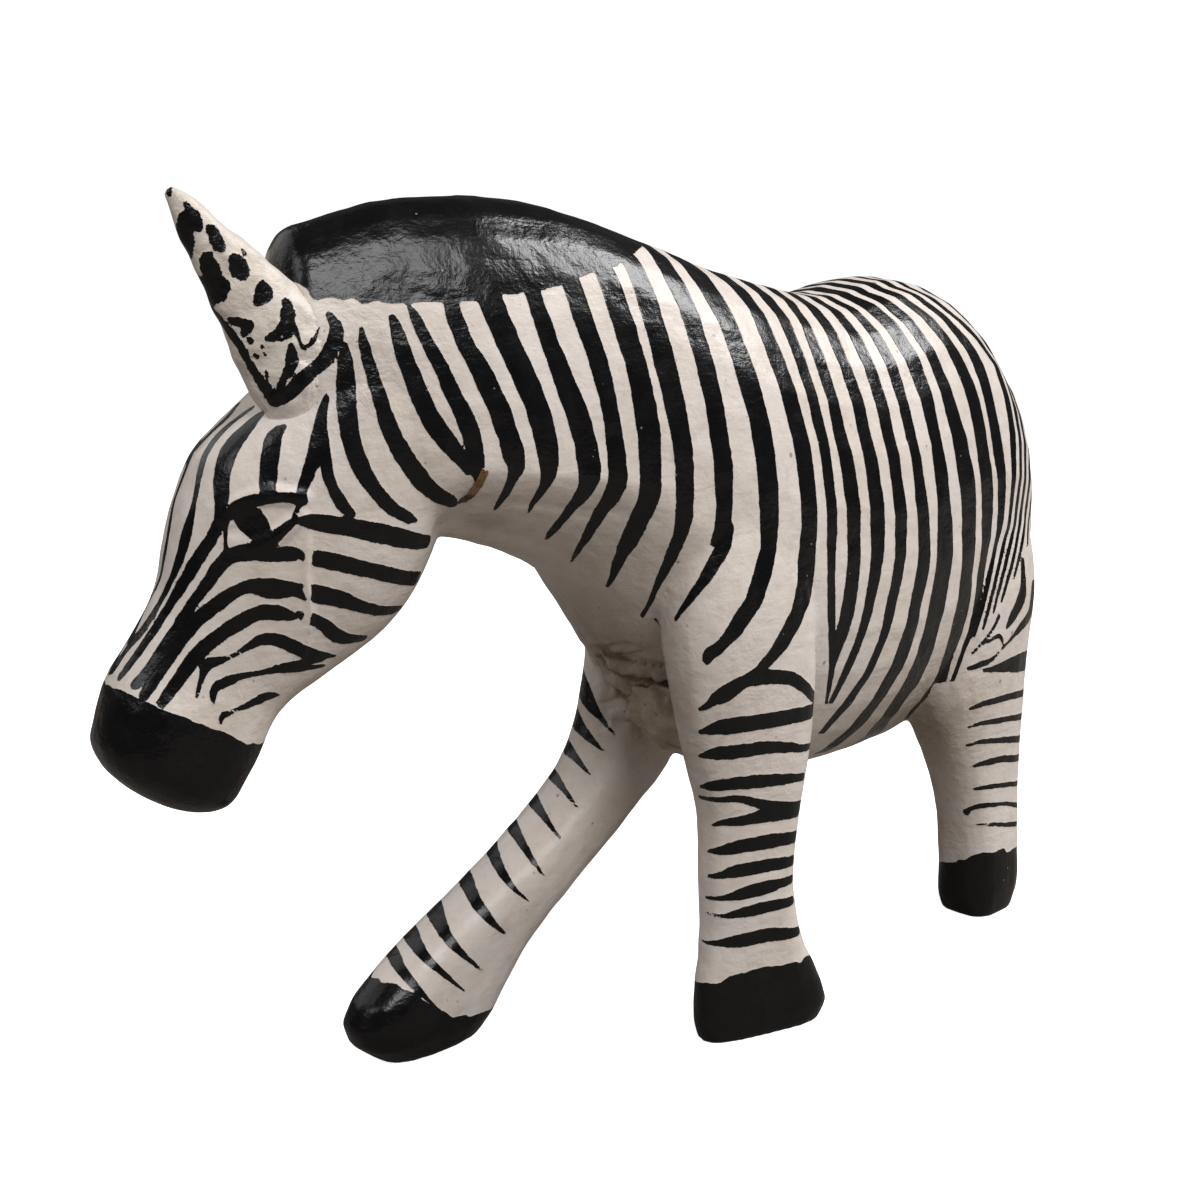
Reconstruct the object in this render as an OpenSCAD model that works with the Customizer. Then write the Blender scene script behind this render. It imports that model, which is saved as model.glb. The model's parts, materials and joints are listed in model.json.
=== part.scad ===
// Carved and painted wooden zebra, walking with its head lowered.
// Built the way such a figure is put together: a log carved into trunk and neck,
// blocks for the head and the face, four leg blanks, ears and tail, all glued and
// pegged with round dowels, then carved to one flowing outline and filled with putty.
//
// Axes: X = the zebra's left, -Y = the way it walks, Z = up, the soles stand on Z = 0.

/* [Overall] */
// Length from muzzle to rump and tail
figure_length = 216; // [180:1:260]
// Height of the neck crest above the soles
figure_height = 155; // [130:1:190]
// Width across the barrel
figure_width = 60; // [50:1:72]

/* [Head] */
// How far the head turns to the zebra's right, degrees
head_turn = 15; // [0:1:20]
// Place of the glue seam across the cheek, measured forward from the neck pivot
face_seam = 29.5; // [27:0.5:32]
// Lean of the throat seam from upright, degrees
throat_lean = 18; // [12:1:24]

/* [Ears] */
// Length of an ear from its root to its tip
ear_length = 32; // [27:1:38]
// Half the spacing of the ear roots
ear_spread = 7.5; // [7:0.5:9]
// Thickness of the putty bead round an ear root
putty_bead = 1.8; // [1.6:0.1:3]

/* [Legs] */
// Height of the notch for the left front leg, which is a slab on the flank
shoulder_notch = 88; // [80:1:96]
// Place of the glue seam behind that slab, measured from the middle of the body
slab_seam = 18; // [16:0.5:20]
// Height of the notches for the hind legs
haunch_notch = 58; // [54:1:62]

/* [Dowels] */
// Diameter of the dowels that hold the head and the legs
dowel_d = 6; // [4:0.5:7]
// Length of a leg dowel
leg_dowel_length = 26; // [18:1:30]
// Length of a dowel through the flank slab
slab_dowel_length = 18; // [14:1:20]
// Length of a head dowel
head_dowel_length = 30; // [20:1:36]
// Diameter of the thin pegs in the face, ears and tail
peg_d = 3; // [2:0.5:4]
// Length of a thin peg
peg_length = 16; // [12:1:20]
// Clearance all round a dowel or peg in its hole
fit_gap = 0.05; // [0.02:0.01:0.1]

/* [Hidden] */

cream = [0.86, 0.82, 0.74];
black = [0.08, 0.08, 0.09];
bare_wood = [0.72, 0.55, 0.36];
putty = [0.90, 0.87, 0.80];
glue = [0.58, 0.40, 0.16];

// The outlines below are drawn for a figure of this size and scaled to the one asked for.
drawn_length = 216;
drawn_height = 155;
drawn_width = 60;
sx = figure_width / drawn_width;
sy = figure_length / drawn_length;
sz = figure_height / drawn_height;

sides = 32;       // points round the trunk and the head
leg_sides = 20;   // points round a leg
pin_fn = 48;      // smoothness of dowels and holes
far = 400;        // longer than anything in the figure

// Neck pivot: ahead of it the neck and head lie in the turned plane.
pivot_y = -48;
ahead = [-sin(head_turn), -cos(head_turn), 0];
aside = [cos(head_turn), -sin(head_turn), 0];

// Trunk and neck, tail to head. Each row is a section across the spine:
// place along Y, lowest point, widest point, highest point, half width,
// squareness below and above the widest point.
trunk_rows = [
    [ 96,  52,  88, 127, 23.5, 2.3, 2.2],
    [ 88,  47,  88, 134, 25.5, 2.4, 2.3],
    [ 78,  45,  87, 139, 26.0, 2.4, 2.4],
    [ 62,  42,  86, 141, 28.5, 2.3, 2.3],
    [ 42,  41,  84, 138, 30.0, 2.2, 2.3],
    [ 22,  43,  86, 141, 29.0, 2.2, 2.3],
    [  8,  49,  90, 144, 29.0, 1.9, 2.3],
    [ -2,  60,  95, 147, 27.5, 1.6, 2.3],
    [-11,  72,  99, 149.5, 25.0, 1.5, 2.3],
    [-20,  85, 104, 152, 22.5, 1.6, 2.3],
    [-32,  93, 109, 154.5, 19.5, 1.9, 2.2],
    [-46,  98, 113, 155, 17.0, 2.1, 2.1],
    [-60, 102, 116, 154, 15.0, 2.2, 2.1],
    [-74, 112, 124, 150, 12.5, 2.2, 2.1]];
trunk_step = 4;
rump_cap = 10;
poll_cap = 5;

// Head, poll to muzzle. Each row is a section across the head's own long axis:
// place along the axis, reach behind it, reach in front of it, half width, squareness.
head_rows = [
    [-4, 16, 14, 12.0, 2.3],
    [ 6, 18.5, 14.5, 14.5, 2.5],
    [16, 20, 16.8, 15.0, 2.7],
    [27, 21.5, 20, 14.5, 2.7],
    [34, 21.5, 19.5, 13.8, 2.6],
    [41, 20, 18, 12.5, 2.4],
    [49, 16, 15, 11.0, 2.3],
    [58, 12, 14.5, 10.0, 2.3],
    [66, 12.5, 14.5, 11.0, 2.4],
    [73, 12.5, 12.5, 11.0, 2.4]];
head_step = 3;
head_start = [10, 128];       // place ahead of the pivot and height of the axis origin
head_slope = 57;              // fall of the axis below level, degrees
muzzle_cap = 6.5;
crown_cap = 5;

// Legs. Each row is a section parallel to the ground:
// height, inner X, outer X, front Y, rear Y, squareness, turn of the section in
// degrees (front inward), taper (how much thinner it is in front than behind).
left_front_rows = [
    [  0, 18.5, 29.5,  -7, 19, 3.6,  9, 0.35],
    [  4, 18.0, 30.2,  -8, 20.5, 3.6,  9, 0.35],
    [ 10, 18.0, 29.8,  -8, 18.5, 3.6,  9, 0.30],
    [ 18, 18.5, 29.5,  -7, 14, 3.6,  9, 0.25],
    [ 30, 18.0, 29.5,  -7, 11.5, 3.4,  8, 0.20],
    [ 46, 17.5, 30.0,  -8, 13.5, 3.4,  7, 0.15],
    [ 62, 16.0, 30.5, -12, 16.5, 3.2,  6, 0.10],
    [ 78, 13.0, 30.5, -14, 17.5, 3.0,  5, 0.05],
    [ 94,  9.0, 28.8, -12, 17.0, 2.6,  3, 0.00],
    [108,  6.0, 25.0,  -8, 14.0, 2.4,  0, 0.00]];
right_front_rows = [
    [  0, -8.5, -20.0, -55, -33, 2.6, 0, 0],
    [  4, -7.0, -22.0, -60, -29, 2.6, 0, 0],
    [ 10, -7.0, -22.0, -61, -24, 2.6, 0, 0],
    [ 16, -7.0, -22.0, -54, -18, 2.6, 0, 0],
    [ 24, -6.5, -22.0, -40,  -8, 2.6, 0, 0],
    [ 34, -5.5, -22.0, -22,   5, 2.6, 0, 0],
    [ 46, -4.0, -22.5,  -7,  18, 2.4, 0, 0],
    [ 62, -3.0, -24.0,   0,  22, 2.2, 0, 0],
    [ 80, -3.0, -26.0,   4,  22, 2.2, 0, 0]];
left_hind_rows = [
    [  0, 13.5, 26.5,  80,  95, 3.0, 0, 0],
    [  4, 12.5, 27.0,  79,  97, 3.0, 0, 0],
    [ 12, 12.5, 27.0,  78.5, 97, 3.0, 0, 0],
    [ 28, 12.0, 26.5,  76, 97, 3.0, 0, 0],
    [ 42, 10.0, 26.5,  70, 98, 3.0, 0, 0],
    [ 56,  7.0, 27.0,  62, 100, 2.8, 0, 0],
    [ 74,  4.0, 27.5,  66, 102, 2.6, 0, 0],
    [ 92,  3.0, 25.0,  72, 100, 2.4, 0, 0]];
right_hind_rows = [
    [  0, -13.5, -26.0, 51, 66, 3.0, 0, 0],
    [  4, -12.5, -27.0, 50, 68, 3.0, 0, 0],
    [ 12, -12.5, -27.0, 50, 68, 3.0, 0, 0],
    [ 28, -12.0, -26.5, 52, 72, 3.0, 0, 0],
    [ 42, -10.0, -26.5, 54, 84, 3.0, 0, 0],
    [ 56,  -7.0, -27.0, 56, 96, 2.8, 0, 0],
    [ 74,  -4.0, -27.5, 64, 102, 2.6, 0, 0],
    [ 92,  -3.0, -25.0, 72, 100, 2.4, 0, 0]];
leg_step = 4;

// Ear, root to tip: place as a share of its length, half width, half thickness.
ear_rows = [
    [0.00, 9.2, 5.2],
    [0.20, 7.8, 4.6],
    [0.45, 5.6, 3.6],
    [0.70, 3.7, 2.6],
    [0.88, 2.3, 1.8],
    [0.96, 1.4, 1.2]];
ear_sink = 4;                 // how far the root starts inside the head
ear_place = [28, 129.5];      // left root: ahead of the pivot, height
right_ear_back = 7.5;           // the right root sits this much further back
right_ear_out = 3.5;          // and this much further out
ear_lean = 37;                // forward lean of the left ear, degrees
right_ear_lean = 39;
right_ear_rise = 5;           // the crest beside the mane buries this much more of it
ear_splay = 4;

tail_seat = 104;              // Y of the rump behind the tail peg
peg_reach = 1;                // how far the tail peg stands out of the rump

// Tail, root to tip: Y, height, half width, half depth.
tail_rows = [
    [ 97, 124, 3.2, 3.0],
    [102, 116, 3.4, 3.0],
    [105, 104, 3.2, 2.6],
    [106,  90, 3.4, 2.6],
    [105,  76, 4.4, 3.2],
    [103.5, 64, 3.2, 2.6],
    [102,  56, 1.4, 1.4]];

// ---------- shared shapes ----------

// Smooth curve through rows whose first number rises or falls steadily.
function row_slope(k, i) =
    let (a = max(i - 1, 0), b = min(i + 1, len(k) - 1)) (k[b] - k[a]) / (k[b][0] - k[a][0]);
function row_find(k, u, i = 0) =
    let (rising = k[1][0] > k[0][0])
    i >= len(k) - 2 || (rising ? u <= k[i + 1][0] : u >= k[i + 1][0]) ? i : row_find(k, u, i + 1);
function row_at(k, u) =
    let (i = row_find(k, u), h = k[i + 1][0] - k[i][0], t = (u - k[i][0]) / h)
    (2 * pow(t, 3) - 3 * pow(t, 2) + 1) * k[i]
    + (pow(t, 3) - 2 * pow(t, 2) + t) * h * row_slope(k, i)
    + (3 * pow(t, 2) - 2 * pow(t, 3)) * k[i + 1]
    + (pow(t, 3) - pow(t, 2)) * h * row_slope(k, i + 1);
function row_places(k, step) =
    let (a = k[0][0], b = k[len(k) - 1][0], n = ceil(abs(b - a) / step))
    [for (i = [0:n]) a + (b - a) * i / n];

// Rounded cross-section with its own squareness above and below the widest point.
function oval(w, up, down, n_up, n_down, count) =
    [for (i = [0:count - 1])
        let (c = cos(360 * i / count), s = sin(360 * i / count), n = s >= 0 ? n_up : n_down)
        [w * sign(c) * pow(abs(c), 2 / n), (s >= 0 ? up : down) * sign(s) * pow(abs(s), 2 / n)]];

function stretch(p) = [p[0] * sx, p[1] * sy, p[2] * sz];

// Skin over a list of rings that all have the same number of points.
module skin(rings) {
    n = len(rings[0]);
    m = len(rings);
    points = [for (r = rings) for (p = r) p];
    walls = [for (j = [0:m - 2]) for (i = [0:n - 1])
        let (k = (i + 1) % n, a = j * n + i, b = j * n + k, c = a + n, d = b + n)
        each [[a, d, b], [a, c, d]]];
    first = [[for (i = [0:n - 1]) i]];
    last = [[for (i = [n - 1:-1:0]) (m - 1) * n + i]];
    polyhedron(points, concat(walls, first, last), convexity = 6);
}

// A ring closed down to a dome: rings shrunk about their middle and pushed along v.
function dome(ring, v, count = 5) =
    let (mid = [for (k = [0:2]) (min([for (p = ring) p[k]]) + max([for (p = ring) p[k]])) / 2])
    [for (j = [1:count])
        let (a = 86 * j / count)
        [for (p = ring) mid + (p - mid) * cos(a) + v * sin(a)]];

function backwards(list) = [for (i = [len(list) - 1:-1:0]) list[i]];

// One solid from several skins.
module carved() {
    resize([0, 0, 0]) union() children();
}

// ---------- outlines ----------

// Turn of the spine at a place along Y: none over the trunk, all of it at the head.
function turn_at(y) = head_turn * max(0, min(1, (pivot_y + 22 - y) / 34));
function spine_at(y) = y >= pivot_y ? [0, y, 0] : [0, pivot_y, 0] + ahead * (pivot_y - y);

function trunk_ring(y) =
    let (r = row_at(trunk_rows, y), t = turn_at(y), o = spine_at(y))
    [for (q = oval(r[4], r[3] - r[2], r[2] - r[1], r[6], r[5], sides))
        stretch(o + [cos(t) * q[0], -sin(t) * q[0], r[2] + q[1]])];

module trunk_outline() {
    rings = [for (y = row_places(trunk_rows, trunk_step)) trunk_ring(y)];
    rump = dome(rings[0], [0, rump_cap * sy, 0]);
    poll = dome(rings[len(rings) - 1], ahead * poll_cap);
    skin(concat(backwards(rump), rings, poll));
}

head_down = cos(head_slope) * ahead - [0, 0, sin(head_slope)];
head_front = sin(head_slope) * ahead + [0, 0, cos(head_slope)];
head_base = [0, pivot_y, 0] + head_start[0] * ahead + [0, 0, head_start[1]];

function head_ring(a) =
    let (r = row_at(head_rows, a), o = head_base + a * head_down)
    [for (q = oval(r[3], r[2], r[1], r[4], r[4], sides))
        stretch(o + q[0] * aside + q[1] * head_front)];

module head_outline() {
    rings = [for (a = row_places(head_rows, head_step)) head_ring(a)];
    crown = dome(rings[0], -crown_cap * head_down);
    muzzle = dome(rings[len(rings) - 1], muzzle_cap * head_down);
    skin(concat(backwards(crown), rings, muzzle));
}

function leg_ring(r) =
    let (mid = [(r[1] + r[2]) / 2, (r[3] + r[4]) / 2],
        w = abs(r[2] - r[1]) / 2, h = (r[4] - r[3]) / 2, turn = r[6] * sign(mid[0]))
    [for (q = oval(w, h, h, r[5], r[5], leg_sides))
        let (u = q[0] * (1 + r[7] * q[1] / h), v = q[1])
        stretch([mid[0] + u * cos(turn) + v * sin(turn),
            mid[1] - u * sin(turn) + v * cos(turn), r[0]])];

module leg_outline(rows) {
    skin([for (z = row_places(rows, leg_step)) leg_ring(row_at(rows, z))]);
}

module core() {
    trunk_outline();
    head_outline();
}

module figure() {
    core();
    leg_outline(left_front_rows);
    leg_outline(right_front_rows);
    leg_outline(left_hind_rows);
    leg_outline(right_hind_rows);
}

// ---------- glue planes ----------

// A prism with its outline drawn in the side view (Y, Z), from x0 to x1.
module side_prism(outline, x0, x1) {
    translate([x0 * sx, 0, 0]) rotate([90, 0, 90])
        linear_extrude((x1 - x0) * sx)
            polygon([for (p = outline) [p[0] * sy, p[1] * sz]]);
}

// The left front leg is a slab let into the flank, with a foot that is free all round.
module left_front_cut() {
    side_prism([[-40, 44], [17.5, 44], [17.5, shoulder_notch], [-40, shoulder_notch]],
        slab_seam, 60);
    side_prism([[-40, -5], [40, -5], [40, 30], [17.5, 44], [-40, 44]], 3, 60);
}

module right_front_cut() {
    side_prism([[-90, -5], [30, -5], [24, 22], [10, 40], [-8, 60], [-40, 60], [-90, 30]], -60, -2);
}

module left_hind_cut() {
    side_prism([[73, -5], [130, -5], [130, haunch_notch], [60, haunch_notch]], 2, 60);
}

module right_hind_cut() {
    side_prism([[44, -5], [74, -5], [82, 30], [102, haunch_notch], [44, haunch_notch]], -60, -2);
}

// Middle of the throat seam at some height above the throat.
function throat_seam(rise) =
    stretch([0, pivot_y, 101] + 4 * ahead) + rise * [-tan(throat_lean) * ahead[0],
        -tan(throat_lean) * ahead[1], 1];

// Everything ahead of the throat seam, in the turned plane of the head.
module head_cut() {
    translate(throat_seam(0))
        rotate([0, 0, -head_turn]) rotate([-throat_lean, 0, 0])
            translate([-far / 2, -far, -far / 2]) cube(far);
}

module face_cut() {
    translate(stretch([0, pivot_y, 0])) rotate([0, 0, -head_turn])
        rotate([90, 0, -90]) translate([0, 0, -far / 2]) linear_extrude(far)
            polygon([[face_seam * sy, 0], [face_seam * sy, 106 * sz],
                [far, 106 * sz + far * 0.6], [far, 0]]);
}

// ---------- ears, tail, putty and glue ----------

// Local frame of an ear: +Z along the ear, +X away from the median plane.
module ear_frame(side) {
    lean = side > 0 ? ear_lean : right_ear_lean;
    back = side > 0 ? 0 : right_ear_back;
    out = ear_spread + (side > 0 ? 0 : right_ear_out);
    root = [0, pivot_y, 0] + (ear_place[0] - back) * ahead + side * out * aside;
    translate(stretch(root + [0, 0, ear_place[1]]))
        rotate([0, 0, -head_turn]) rotate([lean, 0, 0]) rotate([0, side * ear_splay, 0])
            mirror([side > 0 ? 0 : 1, 0, 0]) children();
}

function ear_ring(t) =
    let (r = row_at(ear_rows, t))
    [for (q = oval(r[2], r[1], r[1], 2.1, 2.1, leg_sides)) [q[0], q[1], t * ear_length]];

module ear_outline(side) {
    rings = [for (t = [0:0.08:0.96]) ear_ring(t)];
    root = [for (p = rings[0]) [p[0], p[1], -ear_sink]];
    tip = dome(rings[len(rings) - 1], [0, 0, ear_length * 0.05], 3);
    ear_frame(side) skin(concat([root], rings, tip));
}

// Skirt of putty round an ear root: height along the ear, how far it stands out.
putty_rows = [[-5, 0.9], [-2.5, 1.0], [0, 0.8], [2.5, 0.45], [4.5, 0.1]];

module putty_outline(side) {
    ear_frame(side) translate([0, 0, side > 0 ? 0 : right_ear_rise]) skin([for (r = putty_rows)
        [for (i = [0:leg_sides - 1])
            let (t = 360 * i / leg_sides, out = putty_bead * r[1] * (1 + 0.15 * sin(3 * t + 40)))
            [(ear_rows[0][2] + out) * cos(t), (ear_rows[0][1] + out) * sin(t), r[0]]]]);
}

function tail_ring(k) =
    let (r = tail_rows[k], a = tail_rows[max(k - 1, 0)], b = tail_rows[min(k + 1, len(tail_rows) - 1)],
        run = [b[0] - a[0], b[1] - a[1]] / norm([b[0] - a[0], b[1] - a[1]]))
    [for (q = oval(r[2], r[3], r[3], 2, 2, 12))
        stretch([-q[0], r[0] - run[1] * q[1], r[1] + run[0] * q[1]])];

module tail_outline() {
    skin([for (k = [0:len(tail_rows) - 1]) tail_ring(k)]);
}

// Bead of glue squeezed out of the throat seam, jaw corner to jaw corner.
throat_line = [[0.4, 112, 16.4], [2.2, 106.5, 15.2], [3.8, 102, 11.5], [4.6, 99, 6],
    [4.8, 98.4, 0], [4.6, 99, -6], [3.8, 102, -11.5], [2.2, 106.5, -15.2], [0.4, 112, -16.4]];
throat_bead = 1.6;

function throat_point(k) =
    let (p = throat_line[k]) [0, pivot_y, 0] + p[0] * ahead + p[2] * aside + [0, 0, p[1]];

module throat_outline() {
    last = len(throat_line) - 1;
    skin([for (k = [0:last])
        let (run = throat_point(min(k + 1, last)) - throat_point(max(k - 1, 0)),
            u = run / norm(run), v = cross(u, ahead) / norm(cross(u, ahead)), w = cross(u, v))
        [for (i = [0:7]) stretch(throat_point(k)
            + throat_bead * (cos(45 * i) * v + sin(45 * i) * w))]]);
}

// Lump of filler where the two front legs meet the chest.
chest_rows = [
    [52, -3, 13,  2, 14, 2, 0, 0],
    [56, -5, 17, -3, 15, 2, 0, 0],
    [61, -6, 18, -6, 14, 2, 0, 0],
    [66, -4, 16, -6, 10, 2, 0, 0]];

// ---------- dowels ----------

// A dowel along local Z, centred on its seam; grow widens it into its hole.
module dowel(d, length, grow = 0) {
    cylinder(d = d + 2 * grow, h = length + 2 * grow, center = true, $fn = pin_fn);
}

module at_left_front(grow = 0) {
    for (z = [68, 80])
        translate(stretch([slab_seam, 3, z])) rotate([0, 90, 0])
            dowel(dowel_d, slab_dowel_length, grow);
}

module at_right_front(grow = 0) {
    translate(stretch([-13, 3, 48])) rotate([-45, 0, 0]) dowel(dowel_d, leg_dowel_length, grow);
}

module at_left_hind(grow = 0) {
    translate(stretch([18, 84, 0]) + [0, 0, haunch_notch * sz])
        dowel(dowel_d, leg_dowel_length, grow);
}

module at_right_hind(grow = 0) {
    translate(stretch([-17, 69, 0]) + [0, 0, haunch_notch * sz])
        dowel(dowel_d, leg_dowel_length, grow);
}

module at_head(grow = 0) {
    for (rise = [17, 37])
        translate(throat_seam(rise)) rotate([0, 0, -head_turn]) rotate([90 - throat_lean, 0, 0])
            dowel(dowel_d, head_dowel_length, grow);
}

module at_face(grow = 0) {
    for (z = [88, 100])
        translate(stretch([0, pivot_y, 0] + face_seam * ahead + [0, 0, z]))
            rotate([0, 0, -head_turn]) rotate([90, 0, 0]) dowel(peg_d, peg_length, grow);
}

module at_ear(side, grow = 0) {
    ear_frame(side) translate([0, 0, side > 0 ? -1 : right_ear_rise]) dowel(peg_d, peg_length, grow);
}

// The tip of the peg stands a little way out of the rump, inside the tail.
module at_tail(grow = 0) {
    translate([0, tail_seat * sy + peg_reach - peg_length / 2, 113 * sz])
        rotate([75, 0, 0]) dowel(peg_d, peg_length, grow);
}

// ---------- the pieces ----------

module trunk() {
    color(cream) difference() {
        carved() difference() {
            figure();
            left_front_cut();
            right_front_cut();
            left_hind_cut();
            right_hind_cut();
            head_cut();
        }
        at_head(fit_gap);
        at_left_front(fit_gap);
        at_right_front(fit_gap);
        at_left_hind(fit_gap);
        at_right_hind(fit_gap);
        at_tail(fit_gap);
    }
}

module head_block() {
    color(cream) difference() {
        carved() difference() {
            intersection() {
                figure();
                head_cut();
            }
            face_cut();
        }
        at_head(fit_gap);
        at_face(fit_gap);
        at_ear(1, fit_gap);
        at_ear(-1, fit_gap);
    }
}

module face_block() {
    color(cream) difference() {
        carved() intersection() {
            figure();
            head_cut();
            face_cut();
        }
        at_face(fit_gap);
    }
}

module left_front_leg() {
    color(cream) difference() {
        carved() intersection() {
            figure();
            left_front_cut();
        }
        at_left_front(fit_gap);
    }
}

module right_front_leg() {
    color(cream) difference() {
        carved() intersection() {
            figure();
            right_front_cut();
        }
        at_right_front(fit_gap);
    }
}

module left_hind_leg() {
    color(cream) difference() {
        carved() intersection() {
            figure();
            left_hind_cut();
        }
        at_left_hind(fit_gap);
    }
}

module right_hind_leg() {
    color(cream) difference() {
        carved() intersection() {
            figure();
            right_hind_cut();
        }
        at_right_hind(fit_gap);
    }
}

module ear(side) {
    color(cream) difference() {
        carved() difference() {
            ear_outline(side);
            figure();
        }
        at_ear(side, fit_gap);
    }
}

module left_ear() {
    ear(1);
}

module right_ear() {
    ear(-1);
}

module tail() {
    color(black) difference() {
        carved() difference() {
            tail_outline();
            figure();
        }
        at_tail(fit_gap);
    }
}

module head_dowels() {
    color(bare_wood) at_head();
}

module face_pegs() {
    color(bare_wood) at_face();
}

module left_front_dowels() {
    color(bare_wood) at_left_front();
}

module right_front_dowels() {
    color(bare_wood) at_right_front();
}

module left_hind_dowel() {
    color(bare_wood) at_left_hind();
}

module right_hind_dowel() {
    color(bare_wood) at_right_hind();
}

module left_ear_peg() {
    color(bare_wood) at_ear(1);
}

module right_ear_peg() {
    color(bare_wood) at_ear(-1);
}

module tail_peg() {
    color(bare_wood) at_tail();
}

module ear_putty(side) {
    color(putty) carved() difference() {
        putty_outline(side);
        figure();
        ear_outline(1);
        ear_outline(-1);
        if (side < 0) putty_outline(1);
    }
}

module left_ear_putty() {
    ear_putty(1);
}

module right_ear_putty() {
    ear_putty(-1);
}

module throat_glue() {
    color(glue) carved() difference() {
        throat_outline();
        figure();
    }
}

module chest_putty() {
    color(putty) carved() difference() {
        leg_outline(chest_rows);
        figure();
    }
}

trunk();
head_block();
face_block();
left_ear();
right_ear();
left_front_leg();
right_front_leg();
left_hind_leg();
right_hind_leg();
tail();
head_dowels();
face_pegs();
left_front_dowels();
right_front_dowels();
left_hind_dowel();
right_hind_dowel();
left_ear_peg();
right_ear_peg();
tail_peg();
left_ear_putty();
right_ear_putty();
throat_glue();
chest_putty();
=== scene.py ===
import json
import math
import bpy
import bmesh
import numpy as np
from mathutils import Euler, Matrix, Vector
from mathutils.bvhtree import BVHTree

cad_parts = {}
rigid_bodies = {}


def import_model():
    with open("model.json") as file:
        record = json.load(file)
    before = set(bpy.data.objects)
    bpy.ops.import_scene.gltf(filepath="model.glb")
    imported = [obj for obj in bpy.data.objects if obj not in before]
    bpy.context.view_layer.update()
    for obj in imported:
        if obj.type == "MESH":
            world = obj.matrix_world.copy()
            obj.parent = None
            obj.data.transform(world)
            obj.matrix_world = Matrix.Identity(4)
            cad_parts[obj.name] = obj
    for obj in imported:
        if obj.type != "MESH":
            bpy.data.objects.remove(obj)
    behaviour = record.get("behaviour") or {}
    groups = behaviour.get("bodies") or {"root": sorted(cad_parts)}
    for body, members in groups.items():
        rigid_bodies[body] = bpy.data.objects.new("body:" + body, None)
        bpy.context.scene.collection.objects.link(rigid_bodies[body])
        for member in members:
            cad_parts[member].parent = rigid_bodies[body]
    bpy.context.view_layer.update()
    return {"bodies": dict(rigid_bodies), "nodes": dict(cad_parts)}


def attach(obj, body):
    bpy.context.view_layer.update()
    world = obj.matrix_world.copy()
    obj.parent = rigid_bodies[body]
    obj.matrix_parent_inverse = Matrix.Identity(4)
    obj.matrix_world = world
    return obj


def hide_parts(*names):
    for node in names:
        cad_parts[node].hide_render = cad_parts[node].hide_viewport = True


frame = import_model()
mm = 0.001
root = list(frame["bodies"])[0]
print("frame loaded:", len(frame["nodes"]), "nodes, body", root)

# head frame: the head hangs in a plane turned 15 degrees to the animal's right
headTurn = math.radians(15)
headPivot = np.array([0.0, -48.0])
ahead = np.array([-math.sin(headTurn), -math.cos(headTurn), 0.0])
aside = np.array([math.cos(headTurn), -math.sin(headTurn), 0.0])

# the camera stands ahead of the left flank, a little above the back
cam = {"place": (0.2181, -0.2229, 0.1462), "turn": (78.44, 0.0, 46.0), "lens": 50.0, "sensor": 36.0}
camData = bpy.data.cameras.new("camera")
camData.lens = cam["lens"]
camData.sensor_width = cam["sensor"]
camData.sensor_fit = "HORIZONTAL"
camData.clip_start = 0.01
camObj = bpy.data.objects.new("camera", camData)
camObj.location = cam["place"]
camObj.rotation_euler = Euler([math.radians(a) for a in cam["turn"]])
bpy.context.scene.collection.objects.link(camObj)
bpy.context.scene.camera = camObj
print("camera placed")


def addObject(name, mesh):
    obj = bpy.data.objects.new(name, mesh)
    bpy.context.scene.collection.objects.link(obj)
    return obj


def meshObject(name, bm):
    mesh = bpy.data.meshes.new(name)
    bm.to_mesh(mesh)
    bm.free()
    return addObject(name, mesh)


def copyOf(name, nodes):
    # several CAD nodes in one new object
    bm = bmesh.new()
    for n in nodes:
        bm.from_mesh(frame["nodes"][n].data)
    return meshObject(name, bm)


def bake(obj):
    # apply the modifier stack and keep one plain mesh
    graph = bpy.context.evaluated_depsgraph_get()
    new = bpy.data.meshes.new_from_object(obj.evaluated_get(graph))
    old = obj.data
    obj.modifiers.clear()
    obj.data = new
    bpy.data.meshes.remove(old)


def remesh(obj, voxel):
    m = obj.modifiers.new("remesh", "REMESH")
    m.mode = "VOXEL"
    m.voxel_size = voxel * mm
    m.adaptivity = 0.0
    bake(obj)


def smooth(obj, turns, factor=0.5):
    m = obj.modifiers.new("smooth", "SMOOTH")
    m.factor = factor
    m.iterations = turns
    bake(obj)


def points(obj):
    # vertex places in mm
    n = len(obj.data.vertices)
    a = np.empty(n * 3)
    obj.data.vertices.foreach_get("co", a)
    return a.reshape(-1, 3) / mm


def setPoints(obj, p):
    obj.data.vertices.foreach_set("co", (p * mm).ravel())
    obj.data.update()


def normals(obj):
    n = len(obj.data.vertices)
    a = np.empty(n * 3)
    obj.data.vertices.foreach_get("normal", a)
    return a.reshape(-1, 3)


def dropInner(obj):
    # keep the biggest shell only
    bm = bmesh.new()
    bm.from_mesh(obj.data)
    bm.verts.ensure_lookup_table()
    seen = np.zeros(len(bm.verts), bool)
    groups = []
    for v in bm.verts:
        if seen[v.index]:
            continue
        seen[v.index] = True
        stack, group = [v], []
        while stack:
            a = stack.pop()
            group.append(a)
            for e in a.link_edges:
                b = e.other_vert(a)
                if not seen[b.index]:
                    seen[b.index] = True
                    stack.append(b)
        groups.append(group)
    groups.sort(key=len)
    for group in groups[:-1]:
        bmesh.ops.delete(bm, geom=group, context="VERTS")
    bm.to_mesh(obj.data)
    bm.free()
    return len(groups)


def shadeSmooth(obj):
    obj.data.polygons.foreach_set("use_smooth", [True] * len(obj.data.polygons))
    obj.data.update()


def step(a, b, x):
    # smooth 0..1 ramp
    t = np.clip((x - a) / (b - a), 0, 1)
    return t * t * (3 - 2 * t)


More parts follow.
